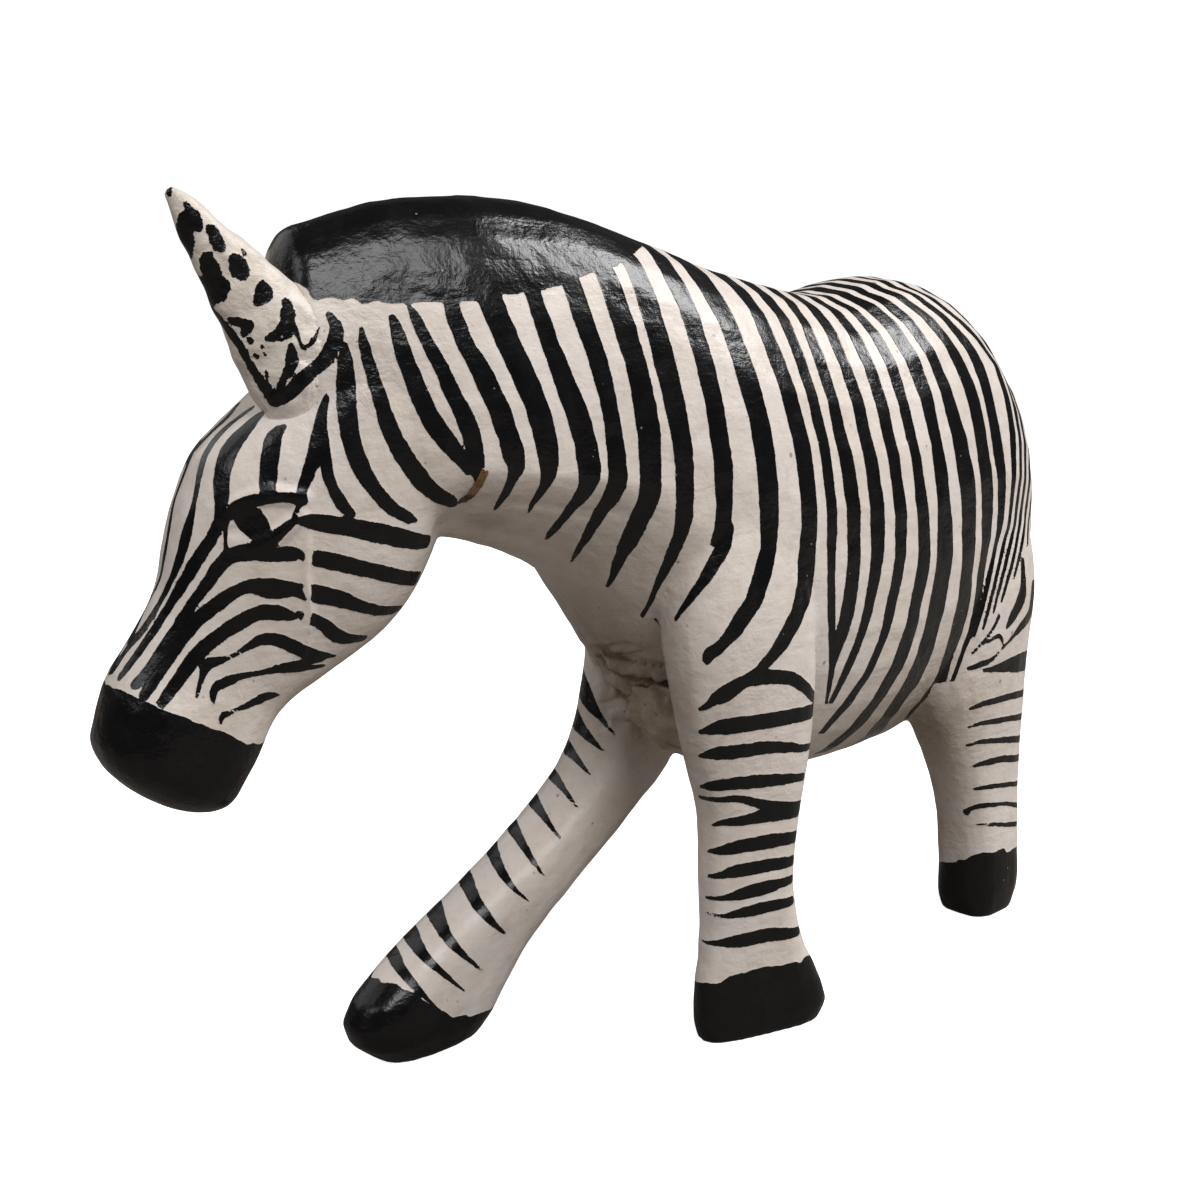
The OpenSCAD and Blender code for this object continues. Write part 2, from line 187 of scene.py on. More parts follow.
latticeSize = 32


def fieldNoise(p, size, seed):
    # value noise from -1 to 1, used for chisel marks and hand wobble
    grid = np.random.default_rng(seed).random((latticeSize, latticeSize, latticeSize))
    q = p / size + 100.0
    i = np.floor(q).astype(int)
    f = q - i
    f = f * f * (3 - 2 * f)
    out = 0
    for dx in (0, 1):
        for dy in (0, 1):
            for dz in (0, 1):
                w = np.abs(1 - dx - f[:, 0]) * np.abs(1 - dy - f[:, 1]) * np.abs(1 - dz - f[:, 2])
                a, b, c = ((i + np.array([dx, dy, dz])) % latticeSize).T
                out = out + w * grid[a, b, c]
    return out * 2 - 1


# the carved body, one skin over the glued blocks
carve = {"voxel": 0.62, "round": 10, "flatSole": (0.4, 3.0),
         "facet": 0.16, "facetSize": 9.0, "wobble": 0.10, "wobbleSize": 3.2}
# the far hind leg stands a little further in and ahead
hind = {"shift": 1.9, "fade": (56, 76), "side": (-1, -5), "start": (40, 46)}
# plane change along the side of the neck: hollow just under a soft ridge
neck = {"line": [(-58, 113.0), (-54, 112.0), (-31, 108.8), (-12, 105.0)], "depth": 0.3, "most": 1.9,
        "fade": (9, 22), "front": (-60, -52), "rear": (-28, -10), "side": (4, 9), "lowest": 70}
# filled joint across the cheek, a fine raised line
cheek = {"seam": 29.5, "height": 0.6, "half": 0.9, "wave": 0.5, "low": (82, 85), "high": (101, 104)}
# rough chisel work between the front legs
chiselWork = {"place": (1.0, -4.0, 64.0), "reach": (17.0, 17.0, 16.0), "fade": (0.55, 1.05),
              "stretch": (0.7, 0.7, 1.2), "size": 4.6, "depth": 2.6}


def aheadOf(p):
    # how far points stand ahead of the pivot, in the head's own plane
    return (p[:, :2] - headPivot) @ ahead[:2]


def chiselReach(p):
    # 0 in the middle of the chisel work, 1 near its rim
    return np.linalg.norm((p - np.array(chiselWork["place"])) / np.array(chiselWork["reach"]), axis=1)


def chiselCuts(p):
    return np.abs(fieldNoise(p * np.array(chiselWork["stretch"]), chiselWork["size"], 13))


skinNodes = ["trunk", "head_block", "face_block", "left_front_leg", "right_front_leg",
             "left_hind_leg", "right_hind_leg"]
skin = copyOf("skin", skinNodes)
remesh(skin, carve["voxel"])
print("shells in the remeshed body:", dropInner(skin))
smooth(skin, carve["round"])
p = points(skin)
n = normals(skin)
soles = step(*carve["flatSole"], p[:, 2])
facets = fieldNoise(p, carve["facetSize"], 11) * carve["facet"]
wobble = fieldNoise(p, carve["wobbleSize"], 12) * carve["wobble"]
p = p + n * ((facets + wobble) * soles)[:, None]
hindShift = hind["shift"] * (1 - step(*hind["fade"], p[:, 2]))
hindShift = hindShift * step(*hind["side"], p[:, 0]) * step(*hind["start"], p[:, 1])
p = p - hindShift[:, None] * np.array([1.0, 1.0, 0.0])
ridge = np.interp(p[:, 1], [r[0] for r in neck["line"]], [r[1] for r in neck["line"]])
under = ridge - p[:, 2]
hollow = np.minimum(np.clip(under, 0, None) * neck["depth"], neck["most"])
hollow *= (1 - step(*neck["fade"], under)) * step(*neck["front"], p[:, 1])
hollow *= (1 - step(*neck["rear"], p[:, 1])) * step(*neck["side"], np.abs(p[:, 0]))
hollow *= p[:, 2] > neck["lowest"]
p = p - n * hollow[:, None]
offSeam = np.abs(aheadOf(p) - cheek["seam"] - cheek["wave"] * np.sin(p[:, 2] * 0.4))
line = np.clip(1 - offSeam / cheek["half"], 0, 1)
line *= step(*cheek["low"], p[:, 2]) * (1 - step(*cheek["high"], p[:, 2]))
p = p + n * (cheek["height"] * line)[:, None]
rough = 1 - step(*chiselWork["fade"], chiselReach(p))
chisel = chiselCuts(p) - 0.35 + 0.4 * fieldNoise(p, 1.7, 14)
p = p + n * (rough * chisel * chiselWork["depth"])[:, None]
setPoints(skin, p)
print("body skin:", len(p), "points, z from", round(float(p[:, 2].min()), 2))

# ears, filler, glue and tail
earShape = {"voxel": 0.42, "round": 6, "lump": 0.28, "size": 2.6}


def softPiece(name, node, shape, seed):
    obj = copyOf(name, [node])
    remesh(obj, shape["voxel"])
    dropInner(obj)
    smooth(obj, shape["round"])
    q = points(obj)
    q = q + normals(obj) * (fieldNoise(q, shape["size"], seed) * shape["lump"])[:, None]
    setPoints(obj, q)
    return obj


leftEar = softPiece("left_ear_carved", "left_ear", earShape, 21)
rightEar = softPiece("right_ear_carved", "right_ear", earShape, 22)
tail = softPiece("tail_carved", "tail", earShape, 23)
puttyShape = {"voxel": 0.34, "round": 6, "lump": 0.5, "size": 3.0}
leftPutty = softPiece("left_ear_filler", "left_ear_putty", puttyShape, 31)
rightPutty = softPiece("right_ear_filler", "right_ear_putty", puttyShape, 32)
chest = softPiece("chest_filler", "chest_putty", dict(puttyShape, lump=1.1, size=2.6), 33)
throatShape = {"voxel": 0.3, "round": 3, "lump": 0.35, "size": 1.7}
throat = softPiece("throat_bead", "throat_glue", throatShape, 34)
print("small pieces made")

# painted strokes are drawn across the view from the left front
viewTurn = math.radians(46)
across = np.array([math.cos(viewTurn), math.sin(viewTurn), 0.0])
inward = np.array([-math.sin(viewTurn), math.cos(viewTurn), 0.0])


def treeOf(objs):
    verts, faces = [], []
    for o in objs:
        k = len(verts)
        verts += [tuple(v.co / mm) for v in o.data.vertices]
        faces += [tuple(i + k for i in f.vertices) for f in o.data.polygons]
    return BVHTree.FromPolygons(verts, faces)


skinTree = treeOf([skin])


def press(obj, q, shareOf):
    # push what stands proud of the body down to the share of its height that shareOf gives
    for i, v in enumerate(q):
        place, face = skinTree.find_nearest(Vector(v))[:2]
        lift = (Vector(v) - place).dot(face)
        if lift > 0:
            q[i] = v - np.array(face) * lift * (1 - float(shareOf(v)))
    setPoints(obj, q)


# the skirt of filler round an ear keeps its height in the middle and dips under at the rim
skirt = {"rim": -0.3, "keep": 0.7, "fade": (4.0, 7.0)}
for obj in (leftPutty, rightPutty):
    q = points(obj)
    centre = q.mean(0)
    press(obj, q, lambda v: skirt["rim"] + (skirt["keep"] - skirt["rim"])
          * float(1 - step(*skirt["fade"], np.linalg.norm(v - centre))))
# the bead shows only at the upper end of the throat joint: (height, how far ahead) of its middle
bead = {"line": [(99, 4.6), (102, 3.8), (106.5, 2.2), (112, 0.4)], "narrow": 0.5,
        "open": (104.0, 106.5), "proud": 0.2, "sunk": 0.25}
q = points(throat)
middle = np.interp(q[:, 2], [r[0] for r in bead["line"]], [r[1] for r in bead["line"]])
q = q - (bead["narrow"] * (aheadOf(q) - middle))[:, None] * ahead
press(throat, q, lambda v: bead["proud"] * step(*bead["open"], v[2])
      - bead["sunk"] * (1 - step(*bead["open"], v[2])))
frontTree = treeOf([skin, leftEar, leftPutty])


def curve(rows, gap):
    # Catmull-Rom through rows of (across, height, width), one row every gap mm
    r = np.array(rows, float)
    if len(r) < 2:
        return r
    r = np.vstack([2 * r[0] - r[1], r, 2 * r[-1] - r[-2]])
    out = []
    for i in range(1, len(r) - 2):
        a, b, c, d = r[i - 1], r[i], r[i + 1], r[i + 2]
        count = max(2, int(np.linalg.norm((c - b)[:2]) / gap))
        for t in np.linspace(0, 1, count, endpoint=False):
            out.append(0.5 * (2 * b + (c - a) * t + (2 * a - 5 * b + 4 * c - d) * t ** 2
                              + (3 * b - a - 3 * c + d) * t ** 3))
    out.append(r[-2])
    return np.array(out)


farOff = 300       # where the rays of a stroke start, outside everything


def lay(rows, tree=None, gap=0.8):
    # drop a stroke of (across, height, width) rows onto the surface
    tree = tree or frontTree
    pts, radii = [], []
    for u, z, w in curve(rows, gap):
        start = across * u + np.array([0, 0, z]) - inward * farOff
        hit = tree.ray_cast(Vector(start), Vector(inward))
        if hit[0] is not None:
            pts.append(np.array(hit[0]))
            radii.append(max(w, 0.05) / 2)
    return np.array(pts), np.array(radii)


def snap(pts):
    return np.array([np.array(skinTree.find_nearest(Vector(q))[0]) for q in pts])


def overBody(pts):
    return snap(pts * np.array([-1, 1, 1]))


def sideOf(pts):
    # how far points stand from the middle plane of the head
    return (pts[:, :2] - headPivot) @ aside[:2]


def mirrorHead(pts):
    q = pts.copy()
    q[:, :2] -= 2 * sideOf(pts)[:, None] * aside[:2]
    return q


def overHead(pts):
    return snap(mirrorHead(pts))


# jump: a gap in mm where the brush left the surface; thin strokes get a firmer edge
brush = {"reach": 3.0, "jump": 6.0, "firm": 0.8, "thin": (0.4, 1.0)}
noInk = brush["reach"]


def dab(field, p, pts, radii):
    # ink depth: distance to the stroke less its half width, negative under the paint
    reach = brush["reach"]
    if len(pts) == 0:
        return
    big = reach + radii.max()
    box = np.all((p > pts.min(0) - big) & (p < pts.max(0) + big), axis=1)
    idx = np.nonzero(box)[0]
    if len(idx) == 0:
        return
    q = p[idx]
    best = np.full(len(idx), reach)
    if len(pts) == 1:
        best = np.linalg.norm(q - pts[0], axis=1) - radii[0]
    for i in range(len(pts) - 1):
        a, b = pts[i], pts[i + 1]
        ab = b - a
        size = float(ab @ ab)
        if size > brush["jump"] ** 2:
            continue
        t = np.clip((q - a) @ ab / max(size, 1e-9), 0, 1)
        d = np.linalg.norm(q - a - t[:, None] * ab, axis=1) - (radii[i] + (radii[i + 1] - radii[i]) * t)
        best = np.minimum(best, d)
    firm = 1 + brush["firm"] * (1 - step(*brush["thin"], float(np.median(radii))))
    field[idx] = np.minimum(field[idx], np.where(best < 0, best * firm, best))


# eyelids stand up as soft rims round a slightly sunken eye
eyeRelief = {"lid": 0.55, "lidFade": (0.0, 1.3), "socket": 0.35, "socketFade": (0.0, 1.5)}
lidLines = [[(-65.3, 106.3, 1.4), (-64, 108.2, 1.4), (-61, 109.6, 1.4), (-58, 110, 1.4),
             (-54.2, 109.2, 1.4)],
            [(-54.6, 106.6, 1.2), (-56.6, 104.7, 1.2), (-58.5, 102.9, 1.2), (-61, 101.9, 1.2)]]
p = points(skin)
n = normals(skin)
lid = np.full(len(p), noInk)
socket = np.full(len(p), noInk)
for rows in lidLines:
    pts, radii = lay(rows, skinTree)
    dab(lid, p, pts, radii)
    dab(lid, p, overHead(pts), radii)
pts, radii = lay([(-63.5, 106.0, 3.4), (-57, 107.0, 2.0)], skinTree)
dab(socket, p, pts, radii)
dab(socket, p, overHead(pts), radii)
rise = eyeRelief["lid"] * (1 - step(*eyeRelief["lidFade"], lid))
sink = eyeRelief["socket"] * (1 - step(*eyeRelief["socketFade"], socket))
p = p + n * (rise - sink)[:, None]
setPoints(skin, p)
skinTree = treeOf([skin])
frontTree = treeOf([skin, leftEar, leftPutty])

# strokes of the head: (across, height, width) in mm
headStrokes = {
    "browEdge": [(-69, 121, 1.5), (-72, 117, 1.5), (-73.6, 112.5, 1.5), (-75.2, 108, 1.4),
                 (-75.7, 104, 1.3), (-76.4, 100, 1.1), (-77.5, 96, 1.0), (-79.7, 92, 1.0),
                 (-82, 88, 1.0), (-84, 84.5, 1.2), (-85, 82, 1.2)],
    "noseInner": [(-62.8, 122.3, 1.2), (-66.8, 119.3, 2.0), (-69.3, 116, 1.9), (-70.2, 112, 1.5),
                  (-70.8, 108, 1.2), (-71.9, 104, 2.3), (-73.2, 100, 1.8), (-75.1, 96, 1.4),
                  (-77.4, 92, 1.4), (-79.8, 88.5, 2.2), (-82.4, 85.5, 1.8), (-84.3, 82.5, 1.5)],
    "browToNose": [(-61, 121.5, 1.6), (-62.5, 120, 2.8), (-65, 117, 3.6), (-66.1, 113, 3.0),
                   (-66, 110, 2.6), (-66.3, 107, 2.2), (-67.4, 104, 1.9), (-70.2, 100, 2.2),
                   (-72.9, 96, 2.1), (-75.5, 92, 1.8), (-77.8, 88.5, 1.7), (-80.3, 85, 1.6),
                   (-82.6, 82, 1.5)],
    "underEye": [(-55.6, 100.7, 2.2), (-58, 100.8, 2.6), (-61, 101.2, 2.8), (-64, 101.1, 2.6),
                 (-66.4, 99.6, 2.2), (-68.8, 96.3, 2.0), (-72.3, 91.8, 1.6), (-75.0, 87.8, 1.6),
                 (-77.3, 84.3, 1.6), (-79.8, 81.3, 1.6)],
    "cheekUpper": [(-55.8, 95.0, 2.2), (-58, 95.2, 3.2), (-60, 95.6, 3.2), (-62, 96, 2.2),
                   (-64.5, 95.2, 2.0), (-66.8, 93.6, 2.4), (-69.6, 91.6, 2.3), (-72.4, 88.5, 2.2),
                   (-74.9, 85, 2.0), (-77.2, 81.5, 2.0), (-78.2, 79.8, 1.6)],
    "cheekLower": [(-56.6, 90.6, 1.4), (-58, 91.2, 2.4), (-60, 91.7, 2.6), (-62, 91.4, 2.4),
                   (-65, 89.8, 2.4), (-68, 87.8, 2.2), (-70.3, 85.8, 2.4), (-72.3, 83.3, 2.2),
                   (-74, 80.8, 2.0), (-75.5, 78.8, 1.6)],
    "lipArch": [(-51.2, 82.7, 0.6), (-54, 83.6, 2.0), (-57, 85.8, 2.2), (-59.5, 87.2, 2.0),
                (-61.5, 87.2, 1.8), (-64, 85.8, 0.9), (-66, 84.8, 0.8), (-68, 84.4, 1.6),
                (-69, 84, 1.9), (-69.8, 82.3, 1.0), (-70.7, 79.2, 0.5)],
    "mouth": [(-53, 81.2, 0.6), (-56, 81.6, 1.4), (-59, 82, 1.2), (-62, 81.8, 0.9), (-64, 81.7, 1.0),
              (-66.5, 81, 1.6), (-68, 80.4, 1.4), (-68.4, 78.8, 0.9), (-68.3, 77.5, 0.4)],
    "mouthTop": [(-59.5, 82.7, 0.4), (-57, 82.6, 0.8), (-53, 82.6, 1.2)],
    "chin": [(-59.5, 77.4, 0.4), (-61, 77.6, 1.6), (-63, 77, 1.2), (-65, 76.4, 0.6),
             (-67, 75.9, 1.0), (-67.4, 74.8, 0.5)],
    "jawTop": [(-54.6, 106, 1.2), (-53, 105.6, 2.4), (-50, 104.9, 2.9), (-46, 103.8, 3.0),
               (-42, 102.4, 3.2), (-39, 101.2, 3.0), (-36.5, 100.3, 2.2)],
    "jawMiddle": [(-54.2, 100.3, 1.8), (-52.5, 99.7, 2.7), (-49, 98.6, 2.7), (-45, 97.1, 2.7),
                  (-41, 95.3, 2.6), (-38.5, 94, 2.6), (-38, 93, 2.0)],
    "jawLower": [(-56, 95, 2.2), (-53.5, 94.2, 2.9), (-50, 92.9, 2.9), (-47, 91.3, 2.2),
                 (-44.5, 89.9, 2.0), (-42.5, 89.3, 1.8), (-41.4, 89.1, 1.2)],
    "jawLowest": [(-55.7, 90.9, 1.2), (-54, 90.2, 2.0), (-52, 88.5, 2.2), (-50.5, 86.3, 2.4),
                  (-48.5, 85.3, 1.9), (-46.8, 85, 1.2)],
    "upperLid": [(-65.3, 106.3, 1.0), (-64, 108, 2.0), (-61, 109.2, 2.2), (-58, 109.6, 1.8),
                 (-55.5, 109.5, 1.8), (-53.9, 109, 1.6)],
    "iris": [(-63.2, 106.8, 2.4), (-61.8, 106.2, 4.4), (-60.6, 104.6, 3.6)],
    "tear": [(-60.2, 103.6, 2.6), (-60.6, 101.5, 2.6)],
    "lowerLid": [(-55, 106.2, 0.9), (-56.6, 104.9, 1.6), (-58.3, 103.4, 2.0), (-59.5, 102.5, 2.4)],
    "eyeFront": [(-64.8, 107.5, 1.2), (-65.5, 105, 0.6), (-65.6, 102, 0.4)],
    "eyeCorner": [(-54.4, 108.5, 0.8), (-55.2, 107, 0.5), (-55.3, 106.3, 0.6)],
    "lidStroke": [(-56.9, 120, 1.0), (-58.3, 118.4, 2.6), (-58.8, 115, 2.8), (-59, 112, 2.6),
                  (-59, 110.3, 2.4)],
    "templeFront": [(-50.5, 124.5, 0.8), (-51.2, 122, 1.6), (-51.7, 118, 2.4), (-52.8, 114, 2.2),
                    (-54, 111, 1.8), (-54.2, 109.5, 1.6)],
    "templeRear": [(-51, 119, 1.5), (-50.7, 115, 2.0), (-50, 111.5, 1.8), (-48.8, 108.5, 2.0),
                   (-47.3, 106.3, 1.6)],
    "neckOne": [(-47.9, 132, 1.2), (-47.7, 129, 2.6), (-47.7, 125, 3.0), (-47.4, 121, 3.0),
                (-46.7, 117, 3.0), (-45.4, 113, 2.9), (-43.8, 110, 2.5), (-41.5, 106.8, 2.2),
                (-39, 104.8, 1.8), (-38, 104.3, 0.8)],
    "neckTwo": [(-45.4, 134.5, 0.8), (-45, 132, 1.7), (-44, 128, 2.1), (-42.7, 124, 2.5),
                (-41.6, 120, 2.8), (-40, 116, 3.1), (-37.8, 112, 3.1), (-35.5, 109, 2.8),
                (-33, 107, 2.4), (-32.3, 106.3, 1.6)],
    "neckThree": [(-40.9, 136, 1.2), (-40.2, 134, 2.2), (-39, 130, 2.8), (-37.6, 126, 3.0),
                  (-35.5, 121, 3.2), (-33.4, 117.5, 3.2), (-31.5, 115, 2.8), (-30, 113, 2.2),
                  (-29.7, 112, 1.4)],
    "neckFour": [(-38.4, 137.8, 0.8), (-37.5, 136, 1.7), (-35.6, 132, 2.2), (-33.5, 128, 2.5),
                 (-31.8, 124, 2.8), (-29.9, 120, 3.1), (-28.8, 116, 3.1), (-28.4, 113, 2.6),
                 (-28, 110, 1.6), (-28, 109, 0.6)],
    "collar": [(-50, 136.6, 1.2), (-48.9, 134.2, 2.2), (-50.6, 130.2, 2.4), (-53.8, 127, 2.4),
               (-57, 124.3, 2.2), (-58.5, 123.9, 1.8)],
}
earStrokes = {
    "frontEdge": [(-67, 138.5, 1.6), (-64.5, 135, 1.6), (-62.5, 132.2, 1.5), (-61, 128.6, 1.5),
                  (-59.3, 125.9, 2.2), (-58, 124, 2.2)],
    "tip": [(-70.8, 155.6, 0.9), (-70.9, 154.3, 0.9)],
    "b1": [(-68.6, 152.8, 0.9), (-67.6, 150.8, 1.8), (-67.1, 149.8, 1.2)],
    "b2": [(-68.9, 151.2, 1.0), (-69.2, 148.5, 2.2), (-69.2, 146, 1.5)],
    "b3": [(-65.5, 149.3, 1.2), (-64.7, 147.7, 1.8), (-64.2, 146.6, 1.2)],
    "b4": [(-66.1, 145.2, 1.3), (-66, 143.6, 2.3), (-65.8, 143, 1.9)],
    "b5": [(-62.5, 145.1, 1.2), (-62, 143.9, 2.3), (-61.6, 142.8, 1.6)],
    "b6": [(-67.6, 141.8, 1.3), (-64.3, 141.0, 2.0), (-66.5, 139.6, 2.2), (-67.2, 140.6, 1.8)],
    "b7": [(-58.8, 141.4, 1.1), (-58.7, 140, 2.1), (-59.7, 138.8, 0.9)],
    "b8": [(-55.9, 138.6, 1.2), (-55.4, 136.6, 1.9), (-56, 134.4, 1.9), (-58.4, 133.3, 0.6)],
    "b9": [(-63.4, 136, 1.2), (-61, 135.3, 1.7), (-61.8, 134.2, 1.0)],
    "b10": [(-55.2, 132.2, 1.0), (-55.2, 130, 2.1), (-56.3, 127.4, 1.2), (-57.5, 125, 1.2)],
    "crumb1": [(-54.4, 134.4, 0.5), (-54, 132.8, 0.5), (-53.3, 131.8, 0.6), (-52.2, 132.9, 0.5),
               (-51.4, 134.3, 0.9), (-50.9, 134.6, 0.9)],
    "dot1": [(-60.9, 133.1, 0.8), (-60.8, 132.9, 0.8)],
    "dot2": [(-59.4, 132.3, 0.6), (-59.2, 132.1, 0.6)],
    "dot3": [(-60.3, 130.8, 0.7), (-60.1, 130.6, 0.7)],
    "dot4": [(-59.0, 131.1, 0.5), (-58.9, 130.9, 0.5)],
    "dot5": [(-58.9, 128.4, 0.5), (-59, 126.5, 0.6)],
    "backDot": [(-61.4, 146.2, 0.8), (-61.2, 145.8, 0.8)],
}
legStrokes = {
    "archLeft": [(8.6, 66.4, 0.5), (10.5, 67.6, 1.6), (12.5, 69.4, 2.4), (16, 71.0, 2.4),
                 (21, 71.2, 2.6), (25.5, 70.2, 2.6), (28.5, 68, 2.4), (31, 64.8, 2.2)],
    "l1": [(9, 62.2, 0.8), (11.5, 63.0, 2.4), (14, 63.2, 3.1), (22, 63.0, 3.0), (30.6, 62.6, 2.8)],
    "l2": [(8.8, 57.2, 0.6), (11, 58, 2.2), (14, 58.2, 2.7), (22, 57.8, 2.4), (30.3, 55.7, 1.3)],
    "l3": [(9.3, 50.9, 0.6), (12, 51.8, 2.2), (16, 52.0, 2.5), (23, 51.3, 2.4), (29.8, 50.2, 1.3)],
    "l4": [(9.2, 48.6, 0.6), (12.5, 49.0, 1.1), (16, 49.0, 1.4), (20, 47.4, 1.8), (23, 46.0, 2.4),
           (28.8, 44.8, 1.6)],
    "l5": [(11.6, 43.6, 0.5), (13.5, 44.4, 1.3), (17, 44.6, 2.0), (22, 44.6, 2.6), (28.8, 43.9, 2.6)],
    "l6": [(10.8, 38.3, 0.6), (14, 39.1, 2.0), (16, 39.5, 2.6), (22, 39.5, 2.8), (28.4, 38.8, 2.3)],
    "l7": [(10.9, 33.4, 0.6), (14, 34.4, 1.8), (16, 34.8, 2.5), (22, 34.8, 2.6), (28, 34.2, 2.0)],
    "l8": [(10.8, 29.0, 0.5), (14, 29.7, 1.1), (18, 30.8, 1.6), (22, 30.8, 2.1), (28, 30.6, 1.5)],
    "l8b": [(14, 29.4, 0.5), (19, 29.5, 0.9), (24, 29.8, 0.8)],
    "l9": [(10.4, 26.0, 0.5), (14, 26.1, 0.8), (17, 26.4, 2.0), (22, 26.6, 2.4), (28.2, 26.3, 1.7)],
    "l10": [(10.2, 20.0, 0.5), (13, 20.6, 1.2), (16, 20.8, 2.5), (22, 20.8, 2.9), (26, 20.2, 2.4),
            (29.6, 19.6, 1.6)],
}
strideStrokes = {
    "r1": [(-12.4, 60, 4.8), (-10.8, 57.8, 3.1), (-8.8, 55.6, 1.3), (-5.8, 52.8, 0.3)],
    "r2": [(-14.6, 54.6, 4.5), (-12.6, 52.8, 2.6), (-10.4, 51.2, 1.3), (-7.8, 49.4, 0.3)],
    "r3": [(-17.0, 49.4, 4.3), (-14.8, 48.2, 2.2), (-12.8, 47.0, 1.1), (-10.8, 45.4, 0.3)],
    "r4": [(-20.4, 44.2, 4.0), (-18, 43.6, 2.1), (-15.8, 42.4, 1.1), (-13, 39.8, 0.3)],
    "r5": [(-24.0, 40.2, 4.0), (-21.4, 39.2, 2.1), (-19, 37.6, 1.1), (-16, 34.6, 0.3)],
    "r6": [(-28.2, 36.4, 4.0), (-25.4, 35.2, 2.2), (-22.6, 33.0, 1.3), (-19.4, 28.8, 0.3)],
    "r7": [(-31.8, 32.8, 4.0), (-29.0, 31.4, 2.2), (-26.0, 28.8, 1.3), (-22.2, 24.6, 0.3)],
    "r8": [(-36.2, 28.8, 4.0), (-33.4, 27.4, 2.5), (-30.2, 24.4, 1.9), (-26.8, 19.8, 0.5)],
    "r9": [(-40.8, 24.4, 4.0), (-38.2, 22.8, 2.5), (-34.8, 19.2, 1.4), (-30.8, 13.8, 0.3)],
    "r10": [(-45.0, 21.2, 3.5), (-41.8, 19.8, 2.1), (-38.0, 16.6, 1.2), (-34.0, 11.4, 0.3)],
    "r11": [(-49.0, 18.6, 2.9), (-46, 17.8, 2.2), (-42.8, 15.4, 1.5), (-39.2, 10.8, 0.4)],
}
haunchStrokes = {
    "h1": [(68.8, 59.6, 0.8), (72, 60, 1.3), (75, 60.4, 0.9), (76.7, 61.6, 0.5), (78.5, 63.3, 0.4)],
    "h2": [(73, 58.5, 0.8), (76, 58.2, 1.6), (80, 58, 3.2), (84, 57.5, 4.5), (86.3, 57, 4.5)],
    "h3": [(70, 50.5, 0.8), (73, 50.9, 1.2), (77, 50.8, 1.5), (82, 50.4, 1.5), (86.3, 49.7, 1.8)],
    "h4": [(70, 46.2, 0.5), (73, 46.5, 0.9), (77, 46, 1.2), (82, 45.3, 1.3), (86, 44.3, 1.5)],
    "h5": [(70, 41.9, 0.5), (73.5, 42.2, 1.0), (77, 41.5, 1.1), (81, 40.6, 1.4), (85, 39.4, 1.5)],
    "h6": [(70.8, 36.4, 0.3), (73, 36.9, 0.9), (76, 36.9, 1.5), (80, 36.5, 1.5), (85.3, 34.9, 1.6)],
    "h7": [(72, 31, 0.4), (74.5, 31.2, 0.8), (78, 30.9, 1.0), (82, 30, 1.0), (85, 29, 1.1)],
    "h8": [(71.7, 25.5, 1.6), (72.5, 26.4, 0.8), (74.5, 27, 1.3), (78, 26.6, 0.9),
           (82, 25.5, 0.9), (85, 24, 1.1)],
    "h9": [(72.5, 22.3, 0.3), (75, 22.5, 0.5), (78, 22, 0.7), (82, 20.7, 0.9), (85, 19.7, 1.1)],
}
flankStrokes = {
    "crescent": [(82.6, 80.5, 1.6), (82.8, 75.3, 2.5), (82.3, 72.2, 3.4), (80.2, 69, 2.8),
                 (78.7, 67, 1.2)],
    "sweep": [(86.3, 74, 3.0), (85.6, 68.5, 3.4), (82.8, 66, 2.2), (80.7, 64.4, 1.2),
              (78.1, 62.6, 0.5), (75, 60.6, 0.8)],
    "f1": [(69.8, 62.8, 0.5), (72.4, 64.9, 0.7), (75, 67.5, 0.8), (76.3, 69.8, 1.0)],
    "f2": [(72.4, 64.4, 0.5), (76.6, 65.4, 1.0), (77.6, 63.9, 0.8)],
    "slabTip": [(13.5, 98.5, 2.8), (12.5, 95, 2.8), (9.5, 90, 2), (7, 86.5, 1.6), (4.5, 82.5, 0.9)],
}

inks = []          # (points, radii) laid on the body and head
for rows in headStrokes.values():
    pts, radii = lay(rows)
    inks.append((pts, radii))
    if len(pts):
        inks.append((overHead(pts), np.where(sideOf(pts) > 0.8, radii, -2.5)))
for rows in legStrokes.values():
    pts, radii = lay(rows, skinTree)
    inks.append((pts, radii))
# each wedge on the striding leg runs on round the front of the leg to its outer face
wrap = {"steps": 6, "length": 1.2, "keep": 0.8, "bend": (-0.25, 0.1, -0.02)}
for rows in strideStrokes.values():
    pts, radii = lay(rows, skinTree, 0.5)
    if len(pts) > 4:
        back = (pts[0] - pts[4]) / np.linalg.norm(pts[0] - pts[4])
        over = [pts[0]]
        for k in range(wrap["steps"]):
            following = Vector(over[-1] + back * wrap["length"])
            over.append(np.array(skinTree.find_nearest(following)[0]))
            back = back * wrap["keep"] + np.array(wrap["bend"])
        pts = np.vstack([over[:0:-1], pts])
        radii = np.concatenate([np.full(len(over) - 1, radii[0]), radii])
    inks.append((pts, radii))
for rows in list(haunchStrokes.values()) + list(flankStrokes.values()):
    pts, radii = lay(rows, skinTree)
    inks.append((pts, radii))
for rows in flankStrokes.values():
    pts, radii = lay(rows, skinTree)
    if len(pts):
        inks.append((overBody(pts), radii))
